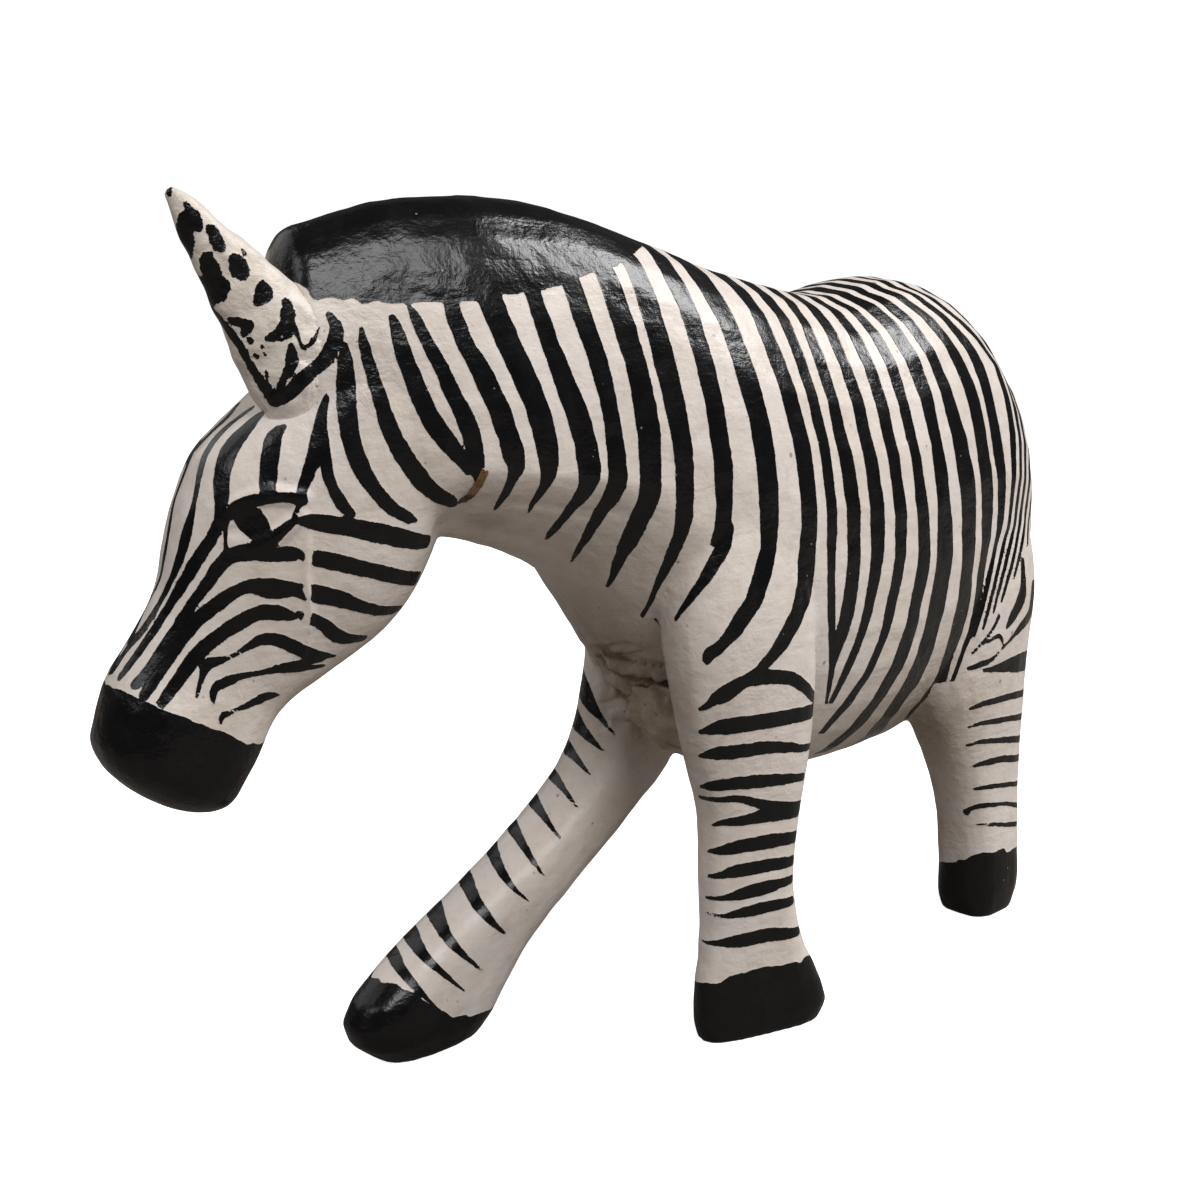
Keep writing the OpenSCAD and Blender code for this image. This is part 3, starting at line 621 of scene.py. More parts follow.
# the far hind hoof stands ahead of the near one, less and less further up the leg
farHind = {"ahead": 29, "fade": (20, 60)}
for rows in haunchStrokes.values():
    pts, radii = lay(rows, skinTree)
    if len(pts):
        q = pts * np.array([-1, 1, 1])
        q[:, 1] -= farHind["ahead"] * (1 - step(*farHind["fade"], q[:, 2]))
        inks.append((snap(q), radii))
earInks = []
bold = {"names": ["b1", "b2", "b3", "b4", "b5", "b6", "b7", "b8"], "fuller": 1.35}
for name, rows in earStrokes.items():
    pts, radii = lay(rows)
    earInks.append((pts, radii * (bold["fuller"] if name in bold["names"] else 1.0)))
collarInk = lay(headStrokes["collar"])
print("strokes laid:", len(inks), "and", len(earInks), "on the ear")

# bands of the barrel and neck: angle round the body from level, front edge, rear edge
axisRows = [(-74, 124), (-46, 112), (-20, 103), (0, 95), (22, 90), (62, 86), (106, 90)]
bands = [
    [(66, -57.0, -54.6), (60, -57.0, -54.3), (50, -56.0, -53.0), (40, -54.3, -50.3),
     (30, -52.9, -48.5), (20, -51.5, -47.2), (10, -50.3, -45.9), (0, -49.8, -45.7),
     (-3, -49.0, -46.0), (-10, -48.7, -46.8), (-20, -48.4, -47.0), (-30, -47.9, -47.3),
     (-36, -47.6, -47.5)],
    [(66, -52.0, -47.4), (60, -51.3, -46.6), (50, -49.5, -44.4), (40, -47.3, -42.0),
     (30, -45.5, -40.5), (20, -44.3, -39.6), (10, -43.5, -39.2), (0, -42.7, -39.9),
     (-10, -42.3, -40.7), (-20, -41.9, -41.2), (-28, -41.5, -41.4)],
    [(66, -42.8, -39.6), (60, -42.3, -39.0), (50, -40.8, -36.9), (40, -39.2, -34.5),
     (30, -37.7, -32.6), (20, -36.3, -31.5), (10, -35.9, -31.1), (0, -35.4, -31.7),
     (-10, -35.4, -32.7), (-20, -35.4, -33.6), (-30, -35.4, -33.9), (-40, -35.0, -34.0),
     (-48, -34.2, -34.1)],
    [(68, -34.9, -31.2), (60, -34.4, -30.2), (50, -32.5, -28.6), (40, -31.1, -27.6),
     (30, -30.2, -26.7), (20, -29.8, -26.2), (10, -29.8, -25.9), (0, -29.9, -26.4),
     (-10, -29.9, -27.1), (-20, -29.8, -27.4), (-30, -29.3, -27.3), (-40, -28.5, -27.4),
     (-50, -27.6, -27.0), (-60, -26.5, -26.4)],
    [(70, -27.4, -23.0), (60, -26.7, -22.0), (50, -25.3, -20.7), (40, -24.4, -19.9),
     (30, -23.9, -19.4), (20, -23.7, -19.4), (10, -23.6, -19.5), (0, -23.5, -19.9),
     (-10, -23.3, -20.1), (-20, -23.0, -20.1), (-30, -22.4, -20.2), (-40, -21.6, -20.1),
     (-50, -20.4, -19.8), (-60, -19.5, -19.4)],
    [(74, -20.4, -16.0), (60, -20.0, -15.5), (50, -19.2, -14.6), (40, -18.3, -13.9),
     (30, -17.4, -13.3), (20, -16.8, -13.1), (10, -16.7, -13.1), (0, -16.4, -13.3),
     (-10, -16.0, -13.9), (-20, -15.7, -14.0), (-30, -15.1, -14.2), (-40, -14.6, -14.2),
     (-50, -13.9, -13.6), (-58, -13.4, -13.3)],
    [(90, -10.6, -6.2), (78, -10.9, -6.5), (70, -11.7, -7.0), (60, -11.1, -7.1), (50, -10.5, -6.4),
     (40, -9.9, -6.0), (30, -9.4, -5.5), (20, -9.1, -5.4), (10, -8.8, -5.5), (0, -9.1, -6.1),
     (-7, -9.6, -7.4)],
    [(90, -3.4, 3.2), (80, -3.5, 3.1), (70, -3.8, 2.2), (60, -2.6, 2.2), (50, -2.1, 3.1),
     (40, -1.0, 4.2), (30, -0.3, 4.6), (20, -0.1, 4.8), (10, 0.2, 4.8), (0, 0.1, 4.0),
     (-10, -2.0, 1.9), (-20, -4.6, -1.1), (-30, -8.2, -5.5), (-40, -12.0, -10.9),
     (-43, -12.6, -12.0)],
    [(90, 7.4, 13.3), (80, 7.3, 13.2), (70, 8.2, 12.3), (60, 7.6, 12.3), (50, 8.3, 13.3),
     (40, 9.3, 14.4), (30, 10.2, 15.1), (20, 10.5, 15.4), (10, 10.7, 15.5), (0, 10.2, 14.9),
     (-10, 9.0, 14.3), (-15, 7.7, 13.8), (-20, 6.4, 10.8), (-30, 1.3, 5.2), (-37, -2.6, -0.5),
     (-42, -7.0, -4.6), (-48, -10.2, -9.0), (-54, -12.3, -12.0)],
    [(90, 16.2, 20.8), (80, 16.2, 20.7), (70, 16.3, 20.1), (60, 16.0, 19.5), (50, 16.3, 19.7),
     (40, 17.0, 20.4), (30, 17.7, 20.9), (20, 18.1, 21.2), (10, 18.3, 21.4), (0, 18.4, 20.9),
     (-10, 18.6, 20.9), (-20, 19.2, 21.6), (-28, 20.3, 22.2), (-36, 21.8, 23.6), (-50, 24.4, 24.8)],
    [(90, 23.9, 27.4), (80, 23.8, 27.2), (70, 23.5, 26.4), (60, 22.0, 25.6), (50, 22.5, 25.8),
     (40, 22.5, 26.4), (30, 23.3, 27.5), (20, 24.0, 28.1), (10, 24.2, 28.2), (0, 24.3, 28.1),
     (-10, 23.8, 27.7), (-20, 23.0, 27.1), (-30, 21.9, 25.6), (-40, 22.5, 23.6), (-50, 24.5, 24.6)],
    [(90, 30.2, 33.8), (80, 30.1, 33.7), (70, 30.0, 33.7), (60, 29.3, 32.7), (50, 29.6, 33.5),
     (40, 29.8, 33.4), (30, 30.3, 34.2), (20, 30.8, 34.9), (10, 30.9, 35.1), (0, 31.1, 34.7),
     (-10, 30.3, 33.5), (-20, 29.4, 32.4), (-30, 28.2, 30.6), (-40, 26.2, 28.5), (-50, 25.3, 26.6)],
    [(90, 37.0, 39.8), (80, 37.1, 40.0), (70, 37.3, 40.8), (60, 36.8, 40.5), (50, 36.8, 40.6),
     (40, 36.8, 40.5), (30, 37.3, 41.0), (20, 37.9, 41.8), (10, 38.1, 42.1), (0, 38.1, 41.8),
     (-10, 37.1, 40.5), (-20, 36.0, 39.2), (-30, 35.0, 37.6), (-40, 32.9, 35.3),
     (-50, 29.5, 32.4), (-60, 26.8, 28.8)],
    [(90, 42.3, 44.6), (80, 42.5, 44.9), (72, 43.6, 46.4), (60, 43.8, 47.3), (50, 43.9, 47.1),
     (40, 44.1, 47.5), (30, 44.9, 48.3), (20, 45.0, 49.4), (10, 45.8, 50.2), (0, 46.0, 50.4),
     (-10, 45.0, 49.6), (-20, 43.8, 48.0), (-30, 42.5, 47.5), (-40, 40.5, 45.4),
     (-50, 38.2, 42.5), (-60, 35.8, 40.4), (-70, 32.4, 37.0)],
    [(90, 46.6, 50.0), (80, 47.0, 50.3), (70, 49.0, 53.2), (60, 50.4, 55.1), (50, 51.2, 55.6),
     (40, 51.9, 56.1), (30, 52.5, 57.5), (20, 53.0, 58.2), (10, 53.0, 59.2), (0, 52.9, 59.4),
     (-10, 52.3, 58.8), (-20, 51.2, 57.9), (-30, 50.4, 56.8), (-40, 49.0, 56.1),
     (-48, 47.7, 54.8), (-52, 47.1, 52.9), (-60, 46.0, 51.9), (-75, 47.7, 55.5)],
    [(90, 51.6, 54.2), (80, 52.2, 54.8), (72, 54.2, 58.0), (66, 56.2, 60.0), (60, 57.7, 61.6),
     (50, 59.0, 63.6), (40, 60.3, 66.5), (30, 61.6, 68.4), (20, 62.9, 69.4), (10, 63.2, 69.6),
     (0, 63.4, 69.4), (-10, 63.4, 69.2), (-20, 63.1, 69.2), (-30, 62.6, 69.2), (-36, 62.3, 68.2),
     (-42, 62.1, 67.1), (-50, 62.3, 65.5), (-60, 60.3, 64.2), (-75, 61.5, 64.5)],
    [(90, 56.0, 58.4), (80, 56.8, 59.4), (75, 59.4, 62.6), (70, 62.6, 66.5), (66, 64.5, 68.8),
     (60, 66.5, 71.7), (50, 68.8, 74.3), (40, 70.0, 75.6), (30, 71.0, 76.9), (20, 72.0, 77.5),
     (10, 72.3, 77.5), (0, 72.5, 76.9), (-10, 72.2, 75.9), (-20, 71.4, 75.0), (-30, 71.4, 73.3),
     (-36, 70.4, 72.0), (-42, 68.8, 69.4), (-50, 66.4, 66.7)],
    [(90, 60.6, 62.8), (80, 61.3, 63.9), (75, 65.8, 68.8), (70, 69.4, 73.3), (66, 72.3, 76.9),
     (60, 75.0, 79.8), (50, 76.6, 80.8), (40, 77.5, 81.8), (30, 78.5, 82.7), (20, 79.5, 82.7),
     (10, 79.5, 82.4), (0, 79.2, 81.4), (-10, 78.0, 79.3), (-20, 75.8, 76.9), (-30, 73.6, 74.5),
     (-38, 71.4, 72.0)],
    [(90, 65.4, 67.6), (80, 66.5, 69.0), (75, 71.4, 74.3), (70, 76.2, 79.5), (66, 80.8, 84.0),
     (60, 85.0, 88.0), (50, 85.6, 88.9), (40, 85.6, 88.6), (30, 85.3, 87.8), (20, 85.0, 87.0),
     (10, 84.5, 86.0), (0, 83.4, 84.5), (-10, 81.0, 82.0), (-20, 78.2, 79.1), (-30, 75.6, 76.4),
     (-36, 74.0, 74.6)],
    [(90, 71.0, 73.6), (80, 74.0, 77.0), (70, 83.4, 86.6), (60, 90.4, 93.2), (40, 90.4, 92.8),
     (20, 88.6, 90.2), (0, 86.2, 87.4), (-20, 80.4, 81.4), (-32, 77.2, 77.8)],
    [(90, 77.5, 80.5), (80, 81.0, 84.4), (70, 90.0, 93.0), (60, 95.0, 97.6), (40, 94.6, 96.6),
     (20, 91.9, 93.6), (0, 89.0, 90.4), (-20, 82.8, 83.8), (-29, 80.2, 80.8)],
    [(90, 85.0, 88.5), (80, 88.5, 92.0), (70, 96.0, 98.4), (60, 99.6, 102.0), (40, 98.6, 100.6),
     (20, 95.6, 97.6), (0, 92.0, 93.6), (-12, 88.0, 89.2), (-22, 84.6, 85.3)],
    [(90, 93.0, 97.0), (80, 96.0, 99.0), (70, 101.0, 103.0), (40, 102.4, 104.2), (20, 99.6, 101.6),
     (0, 95.4, 97.2), (-12, 91.4, 92.4)],
]
# lower edge of the mane: (along the body, angle round it)
maneLine = [(-62, 63.5), (-57, 63.0), (-50, 62.6), (-46, 63.5), (-40, 64.6), (-35, 66.0),
            (-30, 68.0), (-27, 69.0), (-22, 70.5), (-18, 73.0), (-13, 77.0), (-10, 80.0), (-6, 92.0)]
# between the ears the mane rises: (ahead of the pivot, height)
maneFront = {"rise": [(6, 138.4), (20, 138.2), (26, 139.6), (29, 142.5), (34, 149.0)], "end": 35,
             "join": (-56, -50), "lowest": 110, "flake": 1.1}
# edge of the muzzle: (ahead of the pivot, height)
muzzleLine = [(36, 69.5), (38.5, 70.3), (40.1, 71.0), (43, 73.3), (47.6, 75.6), (50, 77.0),
              (53.3, 78.4), (57, 80.3), (59.5, 80.6), (64, 80.6)]
# edges of the black: (across, height) on three hooves, and a plain height on the hidden one
hoofLine = [(8, 11.8), (12, 12.6), (15.5, 14.2), (30, 14.0), (33, 12.8)]
strideLine = [(-60, 15.8), (-51, 15.5), (-46, 15.8), (-42, 13.5), (-39, 10.5), (-36, 7.4), (-32, 5.6),
              (-29, 4.6)]
rearLine = [(66, 10.4), (70, 12.6), (72, 14.0), (74, 15.6), (77, 15.6), (80, 15.2), (83, 14.2),
            (88, 14.0)]
hiddenHoof = 14.5
buttock = {"pitch": 8.2, "slope": 0.18, "start": 3.0, "half": 1.5, "facing": 0.74, "inner": 6,
           "low": 62, "high": 116}
# the front face of the left front leg's slab stays bare
bareFace = {"outside": 17.5, "facing": -0.8, "from": -16, "to": -11, "below": 92}
perDegree = 0.0175     # arc per degree at a radius of one


def along(rows, x, col=1):
    r = np.array(sorted(rows))
    return np.interp(x, r[:, 0], r[:, col])


def bodyInk(p, n):
    field = np.full(len(p), noInk)
    bare = (p[:, 0] > bareFace["outside"]) & (n[:, 1] < bareFace["facing"])
    bare &= (p[:, 1] > bareFace["from"]) & (p[:, 1] < bareFace["to"]) & (p[:, 2] < bareFace["below"])
    x, y, z = np.abs(p[:, 0]), p[:, 1], p[:, 2]
    axis = along(axisRows, y)
    turn = np.degrees(np.arctan2(z - axis, x))
    radius = np.hypot(z - axis, x)
    isTrunk = ~((z < 57) & (y > 63)) & ~((z < 67.5) & (y < 18) & (p[:, 0] > 17)) & ~(z < 36)
    isTrunk &= ~((z < 64) & (y < 30) & (p[:, 0] < -4)) & ~bare
    for rows in bands:
        low = min(r[0] for r in rows)
        high = max(r[0] for r in rows)
        a, b = along(rows, turn, 1), along(rows, turn, 2)
        thin = 1 - step(0.8, 2.2, b - a)
        half = (b - a) / 2 + 0.2 * thin
        d = (np.abs(y - (a + b) / 2) - half) * (1 + thin)
        d = np.maximum(d, (low - turn) * radius * perDegree)
        if high < 90:
            d = np.maximum(d, (turn - high) * radius * perDegree)
        field = np.where(isTrunk, np.minimum(field, d), field)
    # level bars across the back of each buttock
    place = (z + buttock["slope"] * x + buttock["start"]) % buttock["pitch"]
    bars = np.abs(place - buttock["pitch"] / 2) - buttock["half"]
    bars = np.maximum(bars, (buttock["facing"] - n[:, 1]) * 12)
    bars = np.maximum(bars, buttock["inner"] - x)
    bars = np.maximum(bars, np.maximum(buttock["low"] - z, z - buttock["high"]))
    field = np.where(y > 80, np.minimum(field, bars), field)
    # mane
    s = aheadOf(p)
    back = (along(maneLine, y) - turn) * radius * perDegree
    rise = along(maneFront["rise"], s)
    flake = fieldNoise(p, 1.8, 41) * step(12, 20, s) * maneFront["flake"]
    front = np.maximum(rise - z + flake, s - maneFront["end"])
    joinStart, joinEnd = maneFront["join"]
    mane = np.where(y > joinStart, np.minimum(back, front), front)
    mane = np.where(y > joinEnd, back, mane)
    mane = np.where(z > maneFront["lowest"], mane, noInk)
    field = np.minimum(field, mane)
    # muzzle
    muzzle = np.where(s > 30, z - along(muzzleLine, s) + fieldNoise(p, 1.4, 44) * 0.3, noInk)
    field = np.minimum(field, np.where(z > 50, muzzle, noInk))
    # hooves
    u = p @ across
    hoof, stride, rear = (z - along(rows, u) for rows in (hoofLine, strideLine, rearLine))
    hidden = z - hiddenHoof
    torn = fieldNoise(p, 1.5, 42) * 0.7 + fieldNoise(p, 4.0, 43) * 0.5
    hoof, stride, rear, hidden = hoof + torn, stride + torn * 0.6, rear + torn, hidden + torn
    low = z < 30
    field = np.where(low & (p[:, 0] > 0) & (y < 40), np.minimum(field, hoof), field)
    field = np.where(low & (p[:, 0] < 0) & (y < 20), np.minimum(field, stride), field)
    field = np.where(low & (p[:, 0] > 0) & (y > 60), np.minimum(field, rear), field)
    field = np.where(low & (p[:, 0] < 0) & (y > 40), np.minimum(field, hidden), field)
    return field


def addFloat(obj, name, values):
    a = obj.data.attributes.new(name, "FLOAT", "POINT")
    a.data.foreach_set("value", values.astype(np.float32))


def inkOf(obj, isEar=False):
    p = points(obj)
    field = np.full(len(p), noInk) if isEar else bodyInk(p, cutNormals[obj.name])
    for pts, radii in (earInks + [collarInk] if isEar else inks + earInks[:1]):
        dab(field, p, pts, radii)
    if obj is leftPutty:
        for pts, radii in inks:
            dab(field, p, pts, radii)
    if not isEar:
        # the filled joint on the cheek breaks the strokes that cross it
        reach = aheadOf(p)
        gap = 0.5 - np.abs(reach - cheek["seam"]) + fieldNoise(p, 2.2, 45) * 0.6
        onCheek = (p[:, 2] > 86) & (p[:, 2] < 101) & (reach > 20)
        field = np.where(onCheek, np.maximum(field, gap), field)
    return np.clip(field, -noInk, noInk)


# cutters that split the skin back into the glued blocks
def prism(name, outline, x0, x1):
    bm = bmesh.new()
    near = [bm.verts.new((x0 * mm, y * mm, z * mm)) for y, z in outline]
    far = [bm.verts.new((x1 * mm, y * mm, z * mm)) for y, z in outline]
    bm.faces.new(near)
    bm.faces.new(list(reversed(far)))
    for i in range(len(outline)):
        j = (i + 1) % len(outline)
        bm.faces.new((near[i], far[i], far[j], near[j]))
    bmesh.ops.recalc_face_normals(bm, faces=bm.faces)
    return meshObject(name, bm)


def slab(name, origin, normal, size=300.0):
    # a big box whose one face lies on a plane, reaching along the normal
    n = Vector(normal).normalized()
    side = n.cross(Vector((0, 0, 1))).normalized()
    up = side.cross(n)
    bm = bmesh.new()
    ring = []
    for k in (0, size):
        for a, b in ((-1, -1), (1, -1), (1, 1), (-1, 1)):
            c = Vector(origin) + n * k + side * a * size + up * b * size
            ring.append(bm.verts.new(c * mm))
    for f in ((0, 1, 2, 3), (7, 6, 5, 4), (0, 4, 5, 1), (1, 5, 6, 2), (2, 6, 7, 3), (3, 7, 4, 0)):
        bm.faces.new([ring[i] for i in f])
    bmesh.ops.recalc_face_normals(bm, faces=bm.faces)
    return meshObject(name, bm)


def boolean(obj, cutter, how):
    m = obj.modifiers.new("cut", "BOOLEAN")
    m.operation = how
    m.solver = "MANIFOLD"
    m.object = cutter
    bake(obj)


def take(source, name, cutters, how="INTERSECT"):
    obj = addObject(name, source.data.copy())
    for c in cutters:
        boolean(obj, c, how)
    return obj


# per leg: outlines of (along, height), each with how far it reaches from side to side
cutSets = {
    "left_front_leg": [([(-40, 44), (17.5, 44), (17.5, 88), (-40, 88)], 18, 60),
                       ([(-40, -5), (40, -5), (40, 30), (17.5, 44), (-40, 44)], 3, 60)],
    "right_front_leg": [([(-90, -5), (30, -5), (24, 22), (10, 40), (-8, 60), (-40, 60), (-90, 30)],
                         -60, -2)],
    "left_hind_leg": [([(73, -5), (130, -5), (130, 58), (60, 58)], 2, 60)],
    "right_hind_leg": [([(36, -5), (74, -5), (82, 30), (102, 58), (36, 58)], -60, -2)],
}
skinNormals = [Vector(v) for v in normals(skin)]
skinFaces = [tuple(f.vertices) for f in skin.data.polygons]
skinPoints = [Vector(v) for v in points(skin)]


cutGap = 0.4       # what lies further than this from the uncut skin is on a cut face


def normalAt(q):
    # smooth normal of the uncut skin at a point in mm
    place, face, index, gap = skinTree.find_nearest(q)
    if gap > cutGap:
        return None
    total = Vector((0, 0, 0))
    for i in skinFaces[index]:
        total += skinNormals[i] / ((skinPoints[i] - place).length + 0.02)
    return total.normalized()


cutNormals = {}


def carryNormals(obj):
    # cut faces stay flat, the rest keeps the shading it had before the cut
    mesh = obj.data
    mesh.polygons.foreach_set("use_smooth", [True] * len(mesh.polygons))
    kept = [normalAt(v.co / mm) for v in mesh.vertices]
    cutNormals[obj.name] = np.array([tuple(v) if v else (0, 0, 0) for v in kept])
    out = []
    for f in mesh.polygons:
        flat = f.normal
        near = [kept[i] for i in f.vertices]
        isCut = any(v is None for v in near) or max(flat.dot(v) for v in near if v) < 0.5
        for v in near:
            out.append(flat if isCut else v)
    mesh.normals_split_custom_set(out)
    mesh.update()


remaining = addObject("body", skin.data.copy())
pieces = {}
for node, prisms in cutSets.items():
    cutters = [prism("cut" + str(i), *q) for i, q in enumerate(prisms)]
    whole = cutters[0]
    for c in cutters[1:]:
        boolean(whole, c, "UNION")
    pieces[node] = take(remaining, node + "_carved", [whole])
    boolean(remaining, whole, "DIFFERENCE")
    for c in cutters:
        bpy.data.objects.remove(c)
throatSeam = {"height": 101.0, "ahead": 4, "lean": math.radians(18)}
seamPlace = np.array([*headPivot, throatSeam["height"]]) + throatSeam["ahead"] * ahead
seamNormal = ahead * math.cos(throatSeam["lean"]) + np.array([0, 0, math.sin(throatSeam["lean"])])
headSide = slab("headSide", seamPlace, seamNormal)
head = take(remaining, "head", [headSide])
boolean(remaining, headSide, "DIFFERENCE")
bpy.data.objects.remove(headSide)
pieces["trunk"] = remaining
remaining.name = "trunk_carved"
faceBlock = {"top": 106.0, "slope": 0.6}
facePlane = slab("facePlane", np.array([*headPivot, 0]) + cheek["seam"] * ahead, ahead)
roof = slab("faceRoof", np.array([*headPivot, faceBlock["top"]]) + cheek["seam"] * ahead,
            np.array([0, 0, 1.0]) - ahead * faceBlock["slope"])
boolean(facePlane, roof, "DIFFERENCE")
pieces["face_block"] = take(head, "face_block_carved", [facePlane])
boolean(head, facePlane, "DIFFERENCE")
pieces["head_block"] = head
head.name = "head_block_carved"
for o in (facePlane, roof, skin):
    bpy.data.objects.remove(o)
print("blocks cut apart")
for node, obj in pieces.items():
    carryNormals(obj)
    print("piece", node, len(obj.data.vertices))
pieces["left_ear"] = leftEar
pieces["right_ear"] = rightEar
pieces["left_ear_putty"] = leftPutty
pieces["right_ear_putty"] = rightPutty
pieces["chest_putty"] = chest
pieces["throat_glue"] = throat
pieces["tail"] = tail

tailBars = {"pitch": 9.0, "half": 1.6, "tuft": 72.0}
for node, obj in pieces.items():
    ear = node in ("left_ear", "left_ear_putty", "right_ear", "right_ear_putty")
    if node in ("throat_glue", "chest_putty"):
        field = np.full(len(obj.data.vertices), noInk)
    elif node == "tail":
        q = points(obj)
        field = np.abs((q[:, 2] % tailBars["pitch"]) - tailBars["pitch"] / 2) - tailBars["half"]
        field = np.minimum(field, q[:, 2] - tailBars["tuft"])
    else:
        field = inkOf(obj, ear)
        if node.startswith("right_ear"):
            mirrored = mirrorHead(points(obj))
            field = np.full(len(mirrored), noInk)
            for pts, radii in earInks:
                dab(field, mirrored, pts, radii * 1.1)
    addFloat(obj, "ink", field)
    if obj in (leftEar, rightEar, tail, leftPutty, rightPutty, chest, throat):
        shadeSmooth(obj)
print("ink written")

# brown darkening spots: place, reach, strength. Most are handling dirt, glue and bare brownish wood; the
# two spots under the neck and the one on the hind leg's front face are painted shade as well as dirt
dirtAndShadeSpots = [((6, -8, 64), 20, 1.0), ((-6, -14, 74), 16, 0.7), ((12, 4, 52), 14, 0.8),
              ((14, 62, 48), 19, 0.85), ((16, 74, 22), 12, 0.3), ((16, -54, 104), 6, 0.45),
              ((4, -92, 74), 7, 0.5), ((8, -70, 128), 8, 0.35), ((10, -58, 116), 5, 0.3),
              ((-2, -46, 92), 18, 0.3), ((10, -48, 101), 5, 0.5), ((12, -30, 86), 15, 0.22),
              ((-8, -14, 40), 13, 0.14), ((-14, -24, 24), 10, 0.10)]


def dirtAndShadeOf(obj):
    p = points(obj)
    g = np.zeros(len(p))
    for place, reach, strength in dirtAndShadeSpots:
        d = np.linalg.norm(p - np.array(place), axis=1) / reach
        g = np.maximum(g, strength * np.exp(-d * d))
    # the valleys of the chisel work are darker brown
    return g + 0.5 * (1 - step(0.6, 1.1, chiselReach(p))) * (1 - step(0.03, 0.16, chiselCuts(p)))


# the attribute holds brown dirt together with painted shade under the neck and on the hind leg's front face
for obj in pieces.values():
    addFloat(obj, "dirt_and_shade", dirtAndShadeOf(obj))


# shader helpers
def nodeGroup(name, inputs, outputs):
    g = bpy.data.node_groups.new(name, "ShaderNodeTree")
    for label, kind, value in inputs:
        s = g.interface.new_socket(name=label, in_out="INPUT", socket_type=kind)
        if value is not None:
            s.default_value = value
    for label, kind in outputs:
        g.interface.new_socket(name=label, in_out="OUTPUT", socket_type=kind)
    return g, g.nodes.new("NodeGroupInput"), g.nodes.new("NodeGroupOutput")


def mathNode(tree, op, a, b=None, c=None, clamp=False):
    n = tree.nodes.new("ShaderNodeMath")
    n.operation = op
    n.use_clamp = clamp
    for i, v in enumerate((a, b, c)):
        if v is None:
            continue
        if isinstance(v, (int, float)):
            n.inputs[i].default_value = v
        else:
            tree.links.new(v, n.inputs[i])
    return n.outputs[0]


def ramp(tree, x, low, high, a=0.0, b=1.0):
    n = tree.nodes.new("ShaderNodeMapRange")
    n.interpolation_type = "SMOOTHSTEP"
    for i, v in ((1, low), (2, high), (3, a), (4, b)):
        n.inputs[i].default_value = v
    tree.links.new(x, n.inputs[0])
    return n.outputs[0]


def mixColor(tree, fac, a, b, mode="MIX"):
    n = tree.nodes.new("ShaderNodeMix")
    n.data_type = "RGBA"
    n.blend_type = mode
    for i, v in ((0, fac), (6, a), (7, b)):
        if isinstance(v, (int, float)):
            n.inputs[i].default_value = v
        elif isinstance(v, tuple):
            n.inputs[i].default_value = (*v, 1.0)
        else:
            tree.links.new(v, n.inputs[i])
    return n.outputs[2]


def noiseAt(tree, coord, scale, detail=2.0, rough=0.5, stretch=None, distort=0.0):
    source = coord
    if stretch:
        m = tree.nodes.new("ShaderNodeMapping")
        m.inputs["Scale"].default_value = stretch
        tree.links.new(coord, m.inputs["Vector"])
        source = m.outputs[0]
    n = tree.nodes.new("ShaderNodeTexNoise")
    n.inputs["Scale"].default_value = scale
    n.inputs["Detail"].default_value = detail
    n.inputs["Roughness"].default_value = rough
    n.inputs["Distortion"].default_value = distort
    tree.links.new(source, n.inputs["Vector"])
    return n.outputs[0]


# ragged edge of a brush stroke: ink depth in mm to a 0..1 mask
def makeInkEdge():
    inputs = [("Ink", "NodeSocketFloat", 3.0), ("Vector", "NodeSocketVector", None),
              ("Ragged", "NodeSocketFloat", 1.0)]
    outputs = [("Mask", "NodeSocketFloat"), ("Rim", "NodeSocketFloat")]
    g, i, o = nodeGroup("inkEdge", inputs, outputs)
    v = i.outputs["Vector"]
    coarse = mathNode(g, "SUBTRACT", noiseAt(g, v, 520, 2.0), 0.5)
    fine = mathNode(g, "SUBTRACT", noiseAt(g, v, 2400, 2.0, 0.6), 0.5)
    wobble = mathNode(g, "MULTIPLY_ADD", fine, 0.42, coarse)
    depth = mathNode(g, "ADD", i.outputs["Ink"], mathNode(g, "MULTIPLY", wobble, i.outputs["Ragged"]))
    g.links.new(ramp(g, depth, -0.05, 0.06, 1.0, 0.0), o.inputs["Mask"])
    g.links.new(ramp(g, mathNode(g, "ABSOLUTE", depth), 0.0, 0.35, 1.0, 0.0), o.inputs["Rim"])
    return g


# scattered round specks, denser where the noise allows
def makeSpecks():
    inputs = [("Vector", "NodeSocketVector", None), ("Scale", "NodeSocketFloat", 300.0),
              ("Size", "NodeSocketFloat", 0.12), ("Share", "NodeSocketFloat", 0.2)]
    g, i, o = nodeGroup("specks", inputs, [("Mask", "NodeSocketFloat")])
    n = g.nodes.new("ShaderNodeTexVoronoi")
    g.links.new(i.outputs["Vector"], n.inputs["Vector"])
    g.links.new(i.outputs["Scale"], n.inputs["Scale"])
    near = mathNode(g, "LESS_THAN", n.outputs["Distance"], i.outputs["Size"])
    split = g.nodes.new("ShaderNodeSeparateColor")
    g.links.new(n.outputs["Color"], split.inputs[0])
    some = mathNode(g, "LESS_THAN", split.outputs[0], i.outputs["Share"])
    g.links.new(mathNode(g, "MULTIPLY", near, some), o.inputs["Mask"])
    return g


